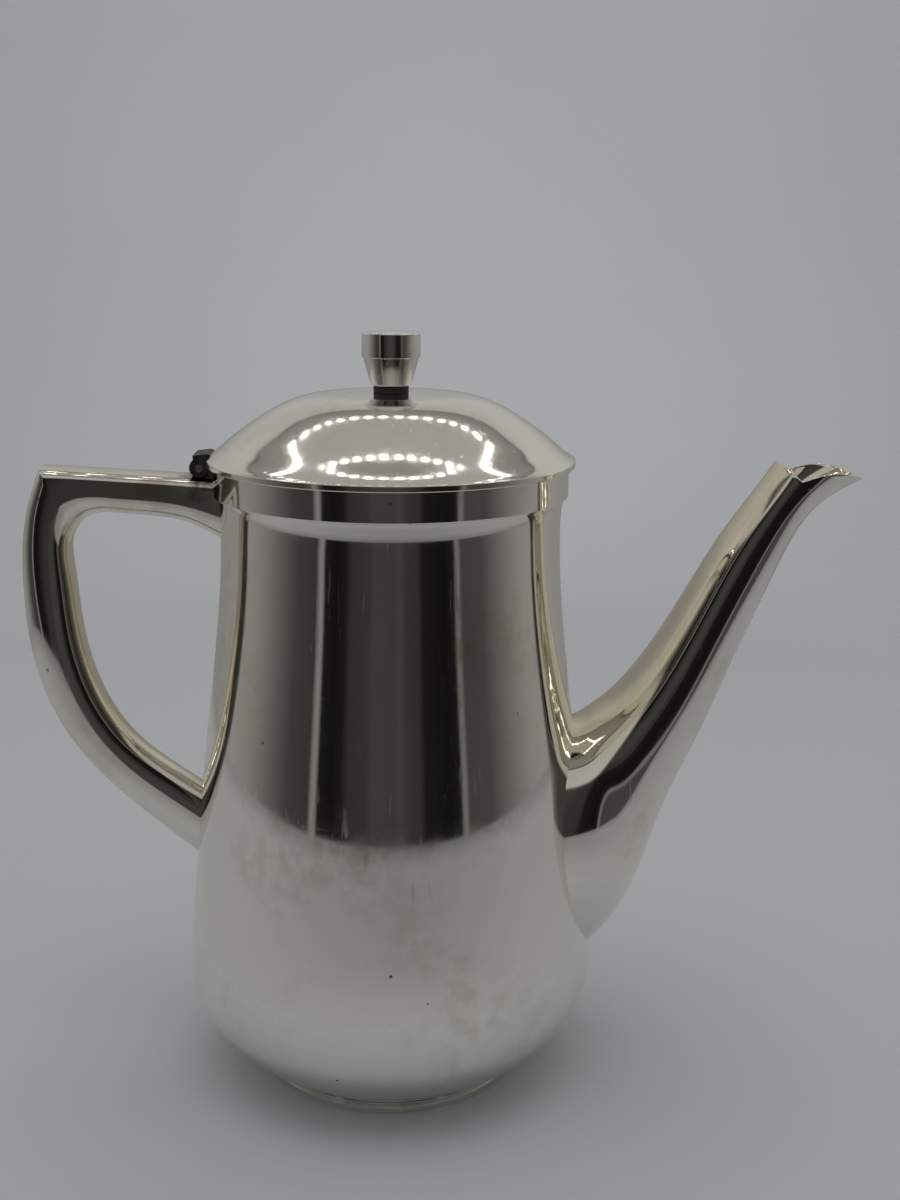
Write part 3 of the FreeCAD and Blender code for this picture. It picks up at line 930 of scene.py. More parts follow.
class Spout:
    """The tapered spout with its open beak."""

    AROUND = 144
    ALONG = 190
    FINE = 900

    def __init__(self, form: SpoutForm, pot: PotForm) -> None:
        """Keeps the sizes.

        Args:
            form: The spout's sizes.
            pot: The pot's form, which it stands on.
        """
        self.form = form
        self.pot = pot

    def place(self, shares: np.ndarray) -> np.ndarray:
        """Points in the centre plane at shares of reach and rise.

        Args:
            shares: Array (n, 2).

        Returns:
            Array (n, 2) of X and Z in millimetres.
        """
        form = self.form
        return np.stack([self.pot.band_r + shares[:, 0] * form.reach,
                         form.foot_z + shares[:, 1] * form.rise], axis=1)

    def table(self, inset: float) -> np.ndarray:
        """The spout's surface as near-elliptical sections joined by smooth curves.

        A section at angle a is its middle plus half its depth times cos a to the power 2 / p along
        the line from its lower to its upper point, plus its half width times sin a to the same
        power across. The power p grows evenly from the root to the mouth. The widest line is moved
        up by the lean times the square of sin a. Each angle's points are joined by one cubic.

        Args:
            inset: How far the sections are drawn in.

        Returns:
            Array (fine, around, 3).
        """
        form = self.form
        high = self.place(np.array([s[0] for s in form.stations]))
        low = self.place(np.array([s[1] for s in form.stations]))
        width = np.array([s[2] for s in form.stations]) - inset
        across = (high - low) / np.linalg.norm(high - low, axis=1)[:, None]
        middle = (high + low) / 2
        depth = np.linalg.norm(high - low, axis=1) / 2 - inset
        turn = np.linspace(0, 2 * np.pi, self.AROUND, endpoint=False)
        cosine, sine = np.cos(turn), np.sin(turn)
        power = np.linspace(form.root_power, form.neck_power, len(width))[:, None]
        along = np.sign(cosine) * np.abs(cosine) ** (2 / power) + form.lean * sine ** 2
        plane = middle[:, None] + across[:, None] * (depth[:, None] * along)[..., None]
        side = width[:, None] * np.sign(sine) * np.abs(sine) ** (2 / power)
        rings = np.stack([plane[..., 0], side, plane[..., 1]], axis=-1)
        knots = np.concatenate([[0.0], np.cumsum(np.linalg.norm(np.diff(middle, axis=0), axis=1))])
        return smooth_curve(rings, self.FINE, knots=knots)

    def rim_height(self, x: np.ndarray) -> np.ndarray:
        """Height of the mouth's rim over X.

        Args:
            x: Distances along X.

        Returns:
            Heights; behind the back corner the line rises steeply.
        """
        rim = self.place(np.array(self.form.rim))
        lip = smooth_curve(rim[1:], 80)
        behind = [rim[0, 0] - self.form.back_run, rim[0, 1] + self.form.back_rise]
        beyond = [rim[-1, 0] + self.form.tip_run, rim[-1, 1]]
        line = np.vstack([behind, rim[0], lip, beyond])
        return np.interp(x, line[:, 0], line[:, 1])

    def skin(self, inset: float) -> tuple[np.ndarray, np.ndarray]:
        """One side of the wall from the body to the rim.

        Args:
            inset: How far it is drawn in.

        Returns:
            Array (along, around, 3) and the direction of travel at the rim, (around, 3).
        """
        loft = Loft(self.table(inset))
        table = loft.table
        radial = np.hypot(table[..., 0], table[..., 1])
        start = loft.crossing(radial - (self.pot.radius_at(table[..., 2], False) - SEAT_SINK))
        stop = loft.crossing(table[..., 2] - self.rim_height(table[..., 0]))
        stop = np.where(stop > 0, stop, len(table) - 2.0)
        step = np.linalg.norm(loft.sample(stop[None]) - loft.sample(stop[None] - 1), axis=-1)[0]
        stop = stop - self.form.lip_round / np.maximum(step, 1e-6)
        share = np.linspace(0, 1, self.ALONG)[:, None]
        rows = loft.sample(start + (stop - start) * share)
        way = rows[-1] - rows[-2]
        return rows, way / np.linalg.norm(way, axis=1)[:, None]

    def surface(self) -> Surface:
        """Outer skin, rounded rim and inner skin as one grid.

        Returns:
            The surface.
        """
        outer, way = self.skin(0.0)
        inner, _ = self.skin(self.form.wall)
        middle = (outer[-1] + inner[-1]) / 2
        half = outer[-1] - middle
        turn = np.linspace(0, np.pi, 8)[1:-1][:, None, None]
        lip = middle + half * np.cos(turn) + way * self.form.lip_round * np.sin(turn)
        grid = np.concatenate([outer, lip, inner[::-1]])
        return Surface(grid.reshape(-1, 3), grid_faces(len(grid), self.AROUND, False, True))

    def build(self, silver: bpy.types.Material) -> None:
        """Builds the spout.

        Args:
            silver: Its finish.
        """
        self.piece = make_object("spout_drawn", self.surface(), silver)

    def dress(self) -> None:
        """Puts the spout on the pot."""
        settle(self.piece, Body.POT, ["spout_near_half", "spout_far_half"])


@dataclass(frozen=True)
class HandleForm:
    """Sizes of the handle in millimetres, its sides as shares of its reach and drop.

    The powers are those of the section on the outer side of the arm, on the back and on the grip
    side, and corner_blend is how far round the corner the first goes over into the second.
    """

    reach: float = 48.3
    drop: float = 101.8
    corner_z: float = 160.6
    slope: float = 2.5
    width: float = 13.5
    arm_power: float = 4.0
    back_power: float = 2.4
    grip_power: float = 2.3
    corner_blend: float = 0.35
    inner_corner: tuple[float, float] = (0.715, 0.150)
    back: tuple = ((0.880, 0.000), (0.952, 0.097), (1.000, 0.312), (0.946, 0.534), (0.758, 0.723),
                   (0.398, 0.903), (0.157, 1.000), (-0.200, 1.140))
    front: tuple = ((-0.200, 0.935), (0.130, 0.816), (0.451, 0.695), (0.689, 0.456),
                    (0.737, 0.261), (0.727, 0.165), (0.644, 0.122), (0.437, 0.116),
                    (0.128, 0.1375), (-0.060, 0.185))


class Handle:
    """The hollow ear handle: a straight arm from the band and a curved grip down to the body."""

    ARM_ROWS = 60
    GRIP_ROWS = 170
    FINE = 700
    AROUND = 104

    def __init__(self, form: HandleForm, pot: PotForm) -> None:
        """Keeps the sizes.

        Args:
            form: The handle's sizes.
            pot: The pot's form, which it ends on.
        """
        self.form = form
        self.pot = pot

    def place(self, shares: np.ndarray) -> np.ndarray:
        """Points in the centre plane at shares of reach and drop.

        Args:
            shares: Array (n, 2).

        Returns:
            Array (n, 2) of X and Z in millimetres.
        """
        form = self.form
        return np.stack([-(self.pot.band_r + shares[:, 0] * form.reach),
                         form.corner_z - shares[:, 1] * form.drop], axis=1)

    def ribs(self) -> tuple[np.ndarray, np.ndarray, int]:
        """Pairs of points, one on the outer side and one on the grip side.

        Returns:
            Outer and inner points, (n, 2) each, and the row of the top corner.
        """
        form = self.form
        back = smooth_curve(self.place(np.array(form.back)), self.FINE)
        front = smooth_curve(self.place(np.array(form.front)), 2 * self.FINE)[::-1]
        corner = back[0]
        arm_end = np.array([front[0, 0], form.corner_z - form.slope])
        bend = self.place(np.array([form.inner_corner]))[0]
        turn = int(np.argmin(np.abs(front - bend).sum(axis=1)))
        share = np.linspace(0, 1, self.FINE // 2)[:, None]
        arm_outer = arm_end + (corner - arm_end) * share
        arm_inner = front[np.linspace(0, turn, self.FINE // 2).astype(int)]
        grip_inner = front[np.linspace(turn, len(front) - 1, self.FINE).astype(int)]
        outer = np.vstack([arm_outer, back[1:]])
        inner = np.vstack([arm_inner, grip_inner[1:]])
        return outer, inner, len(arm_outer) - 1

    def section(self, depth: np.ndarray, power: np.ndarray) -> tuple[np.ndarray, np.ndarray]:
        """A superellipse round each rib, squarer on the outer side than on the grip side.

        At angle a the position along the rib is the half depth times cos a to the power 2 / p, and
        across it the half width times sin a to the same power, with the signs kept.

        Args:
            depth: Half depth of every rib.
            power: The power p of the outer side of every rib.

        Returns:
            Positions along the rib and across it, (n, around) each.
        """
        turn = np.linspace(0, 2 * np.pi, self.AROUND, endpoint=False)[None]
        cosine, sine = np.cos(turn), np.sin(turn)
        p = np.where(cosine > 0, power[:, None], self.form.grip_power)
        along = depth[:, None] * np.sign(cosine) * np.abs(cosine) ** (2 / p)
        across = self.form.width / 2 * np.sign(sine) * np.abs(sine) ** (2 / p)
        return along, across

    def surface(self) -> Surface:
        """The handle's skin, cut where it enters the body and the band.

        Returns:
            The surface.
        """
        outer, inner, corner = self.ribs()
        middle, half = (outer + inner) / 2, (outer - inner) / 2
        depth = np.linalg.norm(half, axis=1)
        form = self.form
        row = (np.arange(len(depth)) - corner) / (form.corner_blend * self.FINE)
        power = form.arm_power + (form.back_power - form.arm_power) * smooth_step(row)
        along, across = self.section(depth, power)
        plane = middle[:, None] + (half / depth[:, None])[:, None] * along[..., None]
        loft = Loft(np.stack([plane[..., 0], across, plane[..., 1]], axis=-1))
        table = loft.table
        radial = np.hypot(table[..., 0], table[..., 1])
        outside = radial - self.pot.radius_at(table[..., 2]) + SEAT_SINK
        start = loft.crossing(outside)
        stop = loft.crossing(outside, last=True)
        arm = start + (corner - start) * np.linspace(0, 1, self.ARM_ROWS)[:, None]
        grip = corner + (stop - corner) * np.linspace(0, 1, self.GRIP_ROWS)[1:, None]
        grid = loft.sample(np.vstack([arm, grip]))
        return Surface(grid.reshape(-1, 3), grid_faces(len(grid), grid.shape[1], False, True))

    def build(self, silver: bpy.types.Material) -> None:
        """Builds the handle.

        Args:
            silver: Its finish.
        """
        self.piece = make_object("handle_hollow", self.surface(), silver)

    def dress(self) -> None:
        """Puts the handle on the pot."""
        settle(self.piece, Body.POT, ["handle_near_half", "handle_far_half"])


# ---------------------------------------------------------------- lid, knob and hinge

@dataclass(frozen=True)
class LidForm:
    """Sizes of the lid and the knob in millimetres."""

    wall: float = 1.0
    radius: float = 46.3
    rise: float = 16.0
    rim_under: float = 162.3
    edge_h: float = 1.5
    edge_t: float = 0.7
    seat_r: float = 42.9
    bore: float = 1.7
    bezel_h: float = 7.5
    bezel_t: float = 0.8
    bezel_r: float = 42.4
    washer_r: float = 4.4
    washer_h: float = 1.9
    cone_r: float = 5.0
    cone_h: float = 7.0
    drum_r: float = 7.3
    drum_h: float = 6.3
    knob_step: float = 0.3
    knob_crown: float = 0.35
    stud_r: float = 1.5
    pin_x: float = -47.6
    pin_z: float = 160.9
    notch_r: float = 2.65
    notch_half: float = 1.95
    knuckle_r: float = 2.4
    knuckle_y: float = 3.6
    knuckle_half: float = 1.65

    @property
    def rim_top(self) -> float:
        """Height of the rim's top."""
        return self.rim_under + self.wall

    @property
    def crown_z(self) -> float:
        """Height of the crown."""
        return self.rim_top + self.rise

    def crown(self) -> np.ndarray:
        """The lid's upper outline from the axis to the rim.

        Returns:
            Array (n, 2).
        """
        shares = ((0, 0), (0.27, 0.01), (0.45, 0.05), (0.60, 0.20), (0.75, 0.46), (0.88, 0.74),
                  (1, 1))
        points = np.array([(a * self.radius, self.crown_z - b * self.rise) for a, b in shares])
        return smooth_curve(points, 150, (1, 0), (1, -0.45))


class Lid:
    """The domed lid with its bezel."""

    def __init__(self, form: LidForm) -> None:
        """Keeps the sizes.

        Args:
            form: The lid's sizes.
        """
        self.form = form

    def profile(self) -> np.ndarray:
        """The lid's wall as one closed line: crown, turned-down edge, seat and underside.

        Returns:
            Array (n, 2).
        """
        form = self.form
        top = form.crown()
        under = offset_profile(top, -form.wall)
        top = top[(top[:, 0] > form.bore + 0.4) & (top[:, 0] < form.radius - 0.7)]
        floor = form.rim_under + form.wall / 2
        under = under[(under[:, 0] > form.bore + 0.1) & (under[:, 1] > floor + 0.15)]
        low = form.rim_top - form.edge_h
        inner = form.radius - form.edge_t
        edge = rounded([(top[-1, 0], top[-1, 1], 0), (form.radius, form.rim_top, 0.35),
                        (form.radius, low, 0.3), (inner, low, 0.15), (inner, form.rim_under, 0.1),
                        (form.seat_r, form.rim_under, 0.05), (form.seat_r, floor, 0.05),
                        (under[-1, 0] + 0.2, floor, 0.05), (under[-1, 0], under[-1, 1], 0)],
                       closed=False)
        hole = np.array([[form.bore, form.crown_z - form.wall], [form.bore, form.crown_z]])
        return np.vstack([top, edge[1:-1], under[::-1], hole])

    def build(self, silver: bpy.types.Material, trim: bpy.types.Material) -> None:
        """Builds the lid's shell, with the notches for the hinge, and the bezel.

        Args:
            silver: Finish of the shell.
            trim: Finish of the bezel.
        """
        form = self.form
        self.shell = make_object("lid_spun", lathe(self.profile()[::-1], LID_STEPS, True), silver)
        place = (form.pin_x, 0.0, form.pin_z)
        carve(self.shell, rod_surface(form.notch_r, place, form.notch_half, "Y", CUTTER_STEPS))
        for side in (-1, 1):
            shifted = (form.pin_x, side * form.knuckle_y, form.pin_z)
            cutter = rod_surface(form.knuckle_r, shifted, form.knuckle_half, "Y", CUTTER_STEPS)
            carve(self.shell, cutter)
        low = form.rim_under - form.bezel_h
        inner = form.bezel_r - form.bezel_t
        ring = rounded([(inner, low, 0.2), (form.bezel_r, low, 0.5),
                        (form.bezel_r, form.rim_under - SEAM_GAP, 0.05),
                        (inner, form.rim_under - SEAM_GAP, 0.05)])
        self.bezel = make_object("lid_bezel_ring", lathe(ring, BODY_STEPS, True), trim)

    def dress(self) -> None:
        """Puts both pieces on the lid's body."""
        settle(self.shell, Body.LID, ["lid_shell"])
        settle(self.bezel, Body.LID, ["lid_bezel"])


class Knob:
    """The turned knob on its dark washer, and the fastening under the lid."""

    def __init__(self, form: LidForm) -> None:
        """Keeps the sizes.

        Args:
            form: The lid's sizes.
        """
        self.form = form

    def build(self, silver: bpy.types.Material, dark: bpy.types.Material) -> None:
        """Builds knob and washer.

        Args:
            silver: Finish of the knob.
            dark: Finish of the washer.
        """
        form = self.form
        foot = form.crown_z + form.washer_h
        drum = foot + form.cone_h
        top = drum + form.drum_h
        shoulder = form.drum_r - form.knob_step
        skin = rounded([(form.stud_r, foot, 0), (form.cone_r, foot, 0.25), (shoulder, drum, 0.08),
                        (form.drum_r, drum, 0.15), (form.drum_r, top - form.knob_crown, 0.45),
                        (form.drum_r * 0.55, top - 0.1, 0.5), (0, top, 0)], closed=False)
        self.knob = make_object("knob_turned", lathe(skin, KNOB_STEPS), silver)
        ring = rounded([(form.stud_r, form.crown_z, 0.1), (form.washer_r, form.crown_z, 0.2),
                        (form.washer_r, foot, 0.35), (form.stud_r, foot, 0.1)])
        self.washer = make_object("knob_washer_ring", lathe(ring, WASHER_STEPS, True), dark)

    def dress(self, steel: bpy.types.Material) -> None:
        """Puts the pieces on the lid's body and finishes the fastening.

        Args:
            steel: Finish of stud, nut and backing washer.
        """
        settle(self.knob, Body.LID, ["knob_body"])
        settle(self.washer, Body.LID, ["knob_washer"])
        paint_nodes(["knob_stud", "knob_nut", "knob_backing_washer"], steel)


def paint_nodes(names: Sequence[str], material: bpy.types.Material) -> None:
    """Gives CAD nodes that are shown as they are a material and a slot.

    Args:
        names: The nodes.
        material: Their material.
    """
    for name in names:
        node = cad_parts[name]
        node.data.materials.clear()
        node.data.materials.append(material)
        LOG.info("%s: shown as made, %s", name, material.name)


class Hinge:
    """The small black hinge at the top of the handle."""

    PIN = "hinge_pin"
    BLACK = ("hinge_pot_block", "hinge_pot_knuckle", "hinge_lid_knuckle_near",
             "hinge_lid_knuckle_far", "hinge_lid_leaf")
    EDGE = 0.15 * MM

    def dress(self, black: bpy.types.Material, worn: bpy.types.Material) -> None:
        """Finishes the hinge's nodes and breaks their edges.

        Args:
            black: Finish of block, leaf and knuckles.
            worn: Finish of the pin, which shows at the knuckles' ends.
        """
        paint_nodes(self.BLACK, black)
        paint_nodes([self.PIN], worn)
        for name in (*self.BLACK, self.PIN):
            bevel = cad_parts[name].modifiers.new("worn_edges", "BEVEL")
            bevel.width = self.EDGE
            bevel.segments = 2
            bevel.limit_method = "ANGLE"
            bevel.angle_limit = SHARP_ANGLE


# ---------------------------------------------------------------- studio

@dataclass(frozen=True)
class StudioForm:
    """Sizes of the studio in metres, and the brightness of what the metal mirrors.

    wall_glow and floor_glow are pairs of an angle from the camera's direction, in degrees, and a
    brightness. The lamp ring, its panel and its dots are in millimetres: lamp_ring is half its
    width, its nearest and furthest Y and its height, and panel_glow pairs a distance outside the
    ring with a brightness.
    """

    floor_r: float = 0.72
    sweep: float = 0.40
    wall_top: float = 1.0
    tent_r: float = 0.43
    tent_top: float = 0.50
    dark_top: float = 0.42
    lamp_size: float = 1.3
    lamp_power: float = 3.0
    lamp_place: tuple[float, float, float] = (0.0, -0.05, 1.25)
    lamp_colour: tuple[float, float, float] = (1.0, 0.99, 0.97)
    backdrop_size: float = 0.2
    backdrop_power: float = 0.3
    backdrop_place: tuple[float, float, float] = (0.05, 0.62, 0.45)
    backdrop_colour: tuple[float, float, float] = (1.0, 1.0, 1.0)
    backdrop_tilt: float = 65.0
    air_colour: tuple[float, float, float] = (0.33, 0.34, 0.35)
    wall_tint: tuple[float, float, float] = (1.02, 1.0, 0.955)
    floor_tint: tuple[float, float, float] = (0.99, 1.0, 1.01)
    facing: float = -90.0
    wall_glow: tuple = ((-180, 0.24), (-150, 0.22), (-128, 0.25), (-107, 0.25), (-94, 0.22),
                        (-84, 0.17), (-72, 0.10), (-60, 0.045), (-47, 0.035), (-44.6, 0.20),
                        (-42.8, 0.20), (-41, 0.010), (-34, 0.006), (-28, 0.010), (-24, 0.030),
                        (-14, 0.034), (-10, 0.048), (2, 0.044), (5, 0.052), (9, 0.034),
                        (16, 0.030), (19, 0.010), (33, 0.006), (39, 0.010), (40.6, 0.150),
                        (42.4, 0.150), (44, 0.050), (58, 0.055), (68, 0.11), (80, 0.18),
                        (92, 0.24), (105, 0.26), (120, 0.28), (140, 0.25), (160, 0.24),
                        (180, 0.24))
    floor_glow: tuple = ((-180, 0.31), (-80, 0.31), (-35, 0.25), (0, 0.225), (30, 0.235),
                         (75, 0.29), (180, 0.31))
    floor_from: float = 0.13
    floor_inner: float = 0.32
    back_lift: float = 0.9
    lift_from: float = 0.12
    lift_to: float = 0.32
    ceiling_glow: float = 0.42
    lamp_ring: tuple[float, float, float, float] = (200.0, -9.0, 165.0, 460.0)
    dots_across: int = 16
    dots_along: int = 12
    dot_r: float = 6.0
    dot_glow: float = 12.0
    panel_margin: float = 130.0
    panel_glow: tuple = ((-30, 0.36), (-8, 0.34), (12, 0.26), (113, 0.20), (119, 0.07),
                         (130, 0.06))


class Studio:
    """Floor, backdrop, soft lamp and the tent that only the mirror surfaces see."""

    def __init__(self, form: StudioForm) -> None:
        """Keeps the sizes.

        Args:
            form: The studio's sizes.
        """
        self.form = form

    def sweep_surface(self) -> Surface:
        """Floor and wall as one surface of revolution with a quarter circle between them.

        Returns:
            The surface, in millimetres.
        """
        form = self.form
        turn = np.linspace(0, np.pi / 2, 40)
        bend = np.stack([form.floor_r + form.sweep * np.sin(turn),
                         form.sweep * (1 - np.cos(turn))], axis=1)
        flat = np.stack([np.linspace(0, form.floor_r, 12), np.zeros(12)], axis=1)
        top = np.array([[form.floor_r + form.sweep, form.wall_top]])
        return lathe(np.vstack([flat, bend[1:], top]) * MM_IN_METRE, 128)

    def bearing(self, x: np.ndarray, y: np.ndarray) -> np.ndarray:
        """Angle from the camera's direction, in degrees from -180 to 180.

        Args:
            x: Distances along X.
            y: Distances along Y.

        Returns:
            One angle for each pair.
        """
        return (np.degrees(np.arctan2(y, x)) - self.form.facing + 180.0) % 360.0 - 180.0

    def tent_surface(self) -> tuple[Surface, np.ndarray]:
        """Wall and ceiling of the tent, and their brightness at every vertex.

        The brightness of the wall is a function of the angle from the camera's direction, and
        fades into the ceiling's own brightness above.

        Returns:
            The surface in millimetres and one brightness for each vertex.
        """
        form = self.form
        steps = 360
        rows = 40
        height = np.linspace(0.001, form.tent_top, rows)
        profile = np.stack([np.full(rows, form.tent_r), height], axis=1)
        inward = np.linspace(form.tent_r, 0, 14)[1:]
        roof = np.stack([inward, np.full(len(inward), form.tent_top)], axis=1)
        surface = lathe(np.vstack([profile, roof]) * MM_IN_METRE, steps)
        x, y, z = surface.points.T * MM
        angle = self.bearing(x, y)
        wall = np.interp(angle, *np.array(form.wall_glow).T)
        behind = smooth_step((np.abs(angle) - 80.0) / 40.0)
        above = smooth_step((z - form.lift_from) / (form.lift_to - form.lift_from))
        wall = wall * (1 + form.back_lift * behind * above)
        rise = smooth_step((z - form.dark_top) / (form.tent_top - form.dark_top))
        return surface, wall * (1 - rise) + form.ceiling_glow * rise

    def floor_ring(self) -> tuple[Surface, np.ndarray]:
        """The tent's floor as the mirror surfaces see it, further out than the pot's own shadow.

        Returns:
            The surface in millimetres and the brightness at every vertex: a function of the angle
            from the camera's direction, less towards the foot of the tent's wall.
        """
        form = self.form
        radius = np.linspace(form.floor_from, form.tent_r, 24)
        level = np.full(len(radius), 0.0015)
        surface = lathe(np.stack([radius, level], axis=1) * MM_IN_METRE, 240)
        x, y, _ = surface.points.T * MM
        away = np.hypot(x, y)
        outward = smooth_step((away - 0.80 * form.tent_r) / (0.2 * form.tent_r))
        near = 1 - smooth_step((away - form.floor_from) / (0.35 * form.tent_r))
        glow = np.interp(self.bearing(x, y), *np.array(form.floor_glow).T) * (1 - 0.3 * outward)
        return surface, glow * (1 - near) + form.floor_inner * near

    def lamp_panel(self) -> tuple[Surface, np.ndarray]:
        """The panel that the small lamps hang under, as a flat grid with a dark outer edge.

        Returns:
            The surface in millimetres and the brightness at every vertex, which depends on the
            distance outside the ring of lamps.
        """
        across, near, far, level = self.form.lamp_ring
        margin = self.form.panel_margin
        rows, columns = 120, 180
        x = np.linspace(-across - margin, across + margin, columns)
        y = np.linspace(near - margin, far + margin, rows)
        height = np.full((rows, columns), level + self.form.dot_r)
        grid = np.stack([*np.meshgrid(x, y), height], axis=-1)
        aside = np.abs(grid[..., 0]) - across
        along = np.abs(grid[..., 1] - (near + far) / 2) - (far - near) / 2
        glow = np.interp(np.maximum(aside, along), *np.array(self.form.panel_glow).T)
        return Surface(grid.reshape(-1, 3), grid_faces(rows, columns, False, False)), glow.ravel()

    def lamp_dots(self) -> Surface:
        """A rectangular ring of small lamps under the ceiling, as flat hexagons.

        Returns:
            The surface in millimetres.
        """
        form = self.form
        across, near, far, level = form.lamp_ring
        side_x = np.linspace(-across, across, form.dots_across)
        side_y = np.linspace(near, far, form.dots_along)[1:-1]
        centres = np.vstack([np.stack([side_x, np.full(len(side_x), near)], axis=1),
                             np.stack([side_x, np.full(len(side_x), far)], axis=1),
                             np.stack([np.full(len(side_y), -across), side_y], axis=1),
                             np.stack([np.full(len(side_y), across), side_y], axis=1)])
        turn = np.radians(np.arange(6) * 60.0)
        ring = form.dot_r * np.stack([np.cos(turn), np.sin(turn)], axis=1)
        flat = (centres[:, None] + ring[None]).reshape(-1, 2)
        points = np.column_stack([flat, np.full(len(flat), level)])
        faces = np.arange(len(points)).reshape(-1, 6).tolist()
        return Surface(points, faces)

    @staticmethod
    def mirror_only(thing: bpy.types.Object, glow: np.ndarray,
                    tint: tuple[float, float, float]) -> None:
        """Makes a stage piece show only in reflections, and paints its brightness.

        Args:
            thing: The piece.
            glow: Brightness of every vertex.
            tint: Colour of that light.
        """
        painted = thing.data.color_attributes.new("glow", "FLOAT_COLOR", "POINT")
        rgba = np.column_stack([glow[:, None] * np.array(tint), np.ones(len(glow))])
        painted.data.foreach_set("color", rgba.astype(np.float32).ravel())
        thing.visible_camera = False
        thing.visible_diffuse = False
        thing.visible_shadow = False
        thing.visible_transmission = False
        thing.visible_volume_scatter = False

    @staticmethod
    def area_lamp(name: str, size: float, power: float, colour: tuple[float, float, float],
                  place: tuple[float, float, float], tilt: float) -> None:
        """A round soft lamp that neither the camera nor the metal sees.

        Args:
            name: Name of the lamp.
            size: Its diameter in metres.
            power: Its power in watts.
            colour: Colour of its light.
            place: Its place in metres.
            tilt: How far it is turned about X from shining straight down, in degrees.
        """
        data = bpy.data.lights.new(name, "AREA")
        data.shape = "DISK"
        data.size = size
        data.energy = power
        data.color = colour
        lamp = bpy.data.objects.new(name, data)
        lamp.location = place
        lamp.rotation_euler = (math.radians(tilt), 0.0, 0.0)
        lamp.visible_camera = False
        lamp.visible_glossy = False
        bpy.context.scene.collection.objects.link(lamp)

    def build(self) -> None:
        """Builds the stage, its lamps and the air's own faint light."""
        form = self.form
        paint = StageFinish("studio_paper", (0.74, 0.75, 0.76)).make()
        make_object("studio_sweep", self.sweep_surface(), paint)
        glow = glow_material("tent_glow", "glow")
        surface, brightness = self.tent_surface()
        self.mirror_only(make_object("mirror_tent", surface, glow), brightness, form.wall_tint)
        surface, brightness = self.lamp_panel()
        self.mirror_only(make_object("mirror_panel", surface, glow), brightness, form.wall_tint)
        surface, brightness = self.floor_ring()
        self.mirror_only(make_object("mirror_floor", surface, glow), brightness, form.floor_tint)
        dots = make_object("mirror_lamps", self.lamp_dots(), glow, smooth=False)
        brightness = np.full(len(dots.data.vertices), form.dot_glow)
        self.mirror_only(dots, brightness, form.wall_tint)
        self.area_lamp("soft_lamp", form.lamp_size, form.lamp_power, form.lamp_colour,
                       form.lamp_place, 0.0)
        self.area_lamp("backdrop_lamp", form.backdrop_size, form.backdrop_power,
                       form.backdrop_colour, form.backdrop_place, form.backdrop_tilt)
        world = bpy.data.worlds.new("studio_air")
        bpy.context.scene.world = world
        world.use_nodes = True
        air = world.node_tree.nodes["Background"]
        air.inputs["Color"].default_value = (*form.air_colour, 1.0)
        air.inputs["Strength"].default_value = 1.0
        LOG.info("studio: sweep, tent, lamps")


@dataclass(frozen=True)
class CameraForm:
    """Place of the camera in metres, its angles in radians and its lens in millimetres."""

    place: tuple[float, float, float] = (0.0, -0.375507, 0.218191)
    pan: float = 0.0403934
    tilt: float = 0.2403342
    roll: float = 0.0095993
    lens: float = 45.0
    sensor: float = 36.0
    near: float = 0.01
    far: float = 20.0

    def build(self) -> None:
        """Makes the camera and gives it to the scene.

        It looks along the pan direction, tilted down, and is turned about that line by the roll.
        """
        ahead = Vector((math.sin(self.pan) * math.cos(self.tilt),
                        math.cos(self.pan) * math.cos(self.tilt), -math.sin(self.tilt)))
        level = Vector((math.cos(self.pan), -math.sin(self.pan), 0.0))
        upright = level.cross(ahead)
        right = math.cos(self.roll) * level + math.sin(self.roll) * upright
        up = math.cos(self.roll) * upright - math.sin(self.roll) * level
        data = bpy.data.cameras.new("camera")
        data.lens = self.lens
        data.sensor_width = self.sensor
        data.sensor_height = self.sensor
        data.clip_start, data.clip_end = self.near, self.far
        thing = bpy.data.objects.new("camera", data)
        thing.matrix_world = Matrix((
            (right.x, up.x, -ahead.x, self.place[0]), (right.y, up.y, -ahead.y, self.place[1]),
            (right.z, up.z, -ahead.z, self.place[2]), (0.0, 0.0, 0.0, 1.0)))
        bpy.context.scene.collection.objects.link(thing)
        bpy.context.scene.camera = thing


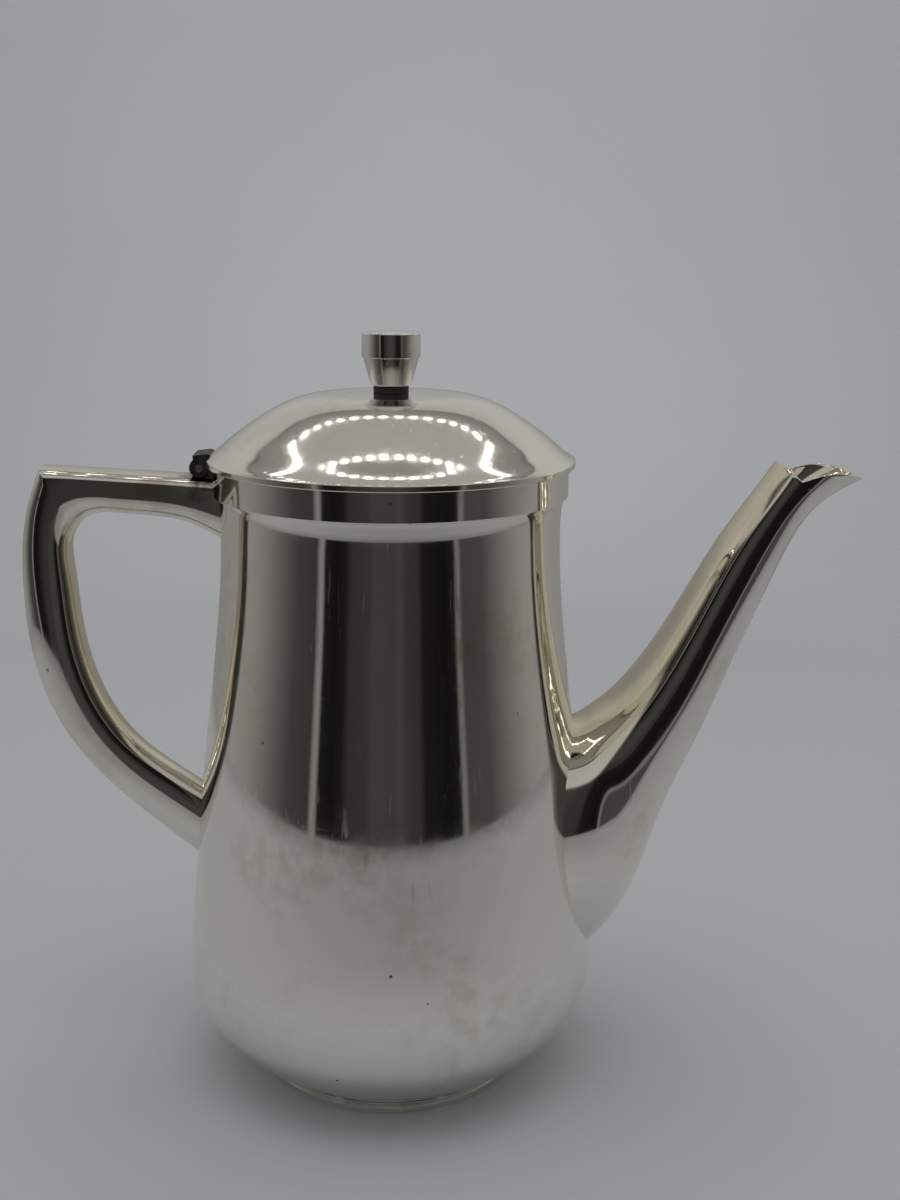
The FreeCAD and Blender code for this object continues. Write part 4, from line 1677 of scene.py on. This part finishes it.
@dataclass(frozen=True)
class Palette:
    """All finishes of the pot."""

    body: SilverFinish = SilverFinish("silver_body", tarnish=0.35)
    lid: SilverFinish = SilverFinish("silver_lid", tarnish=0.25, roughness=0.09)
    # The spout's yellow on its faces that look up and back is a painted reflection.
    spout: SilverFinish = SilverFinish("silver_spout", colour=(0.86, 0.83, 0.77), tarnish=0.35,
                                       yellow=0.55, yellow_facing=(-0.6, 0.0, 0.8))
    # Handle: painted reflection in yellow towards the pot, painted shade round the hinge.
    handle: SilverFinish = SilverFinish("silver_handle", colour=(0.85, 0.82, 0.75), tarnish=0.5,
                                        yellow=0.6, yellow_facing=(1.0, 0.0, 0.0),
                                        black_at=(-47.0, 0.0, 156.0), black_reach=9.0)
    # The trim's black round the hinge, on the neck band, is painted shade.
    trim: SilverFinish = SilverFinish("silver_trim", tarnish=0.4, roughness=0.05,
                                      black_at=(-44.7, 0.0, 158.0), black_reach=7.5)
    knob: SilverFinish = SilverFinish("silver_knob", tarnish=0.5, roughness=0.07)
    hinge: PlainFinish = PlainFinish("tarnished_hinge", (0.035, 0.032, 0.030), (0.11, 0.10, 0.09),
                                     0.7, 0.42, 0.5)
    pin: PlainFinish = PlainFinish("worn_pin", (0.22, 0.20, 0.18), (0.42, 0.40, 0.36),
                                   0.9, 0.35, 0.4)
    washer: PlainFinish = PlainFinish("dark_washer", (0.02, 0.018, 0.017), (0.05, 0.045, 0.04),
                                      0.0, 0.6, 0.3)
    steel: PlainFinish = PlainFinish("steel_fastener", (0.42, 0.42, 0.41), (0.55, 0.54, 0.52),
                                     1.0, 0.32, 0.2)


def main() -> None:
    """Builds every sub-assembly in order."""
    logging.basicConfig(level=logging.INFO, format="%(name)s: %(message)s")
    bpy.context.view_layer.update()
    effects = Effects()
    palette = Palette()
    trim = palette.trim.make(effects)
    pot, lid_form = PotForm(), LidForm()
    body = BodyAssembly(pot)
    body.build(palette.body.make(effects), trim)
    body.dress()
    spout = Spout(SpoutForm(), pot)
    spout.build(palette.spout.make(effects))
    spout.dress()
    handle = Handle(HandleForm(), pot)
    handle.build(palette.handle.make(effects))
    handle.dress()
    lid = Lid(lid_form)
    lid.build(palette.lid.make(effects), trim)
    lid.dress()
    knob = Knob(lid_form)
    knob.build(palette.knob.make(effects), palette.washer.make(effects))
    knob.dress(palette.steel.make(effects))
    Hinge().dress(palette.hinge.make(effects), palette.pin.make(effects))
    Studio(StudioForm()).build()
    CameraForm().build()
    bpy.context.scene.view_settings.view_transform = "Standard"


if __name__ == "__main__":
    main()
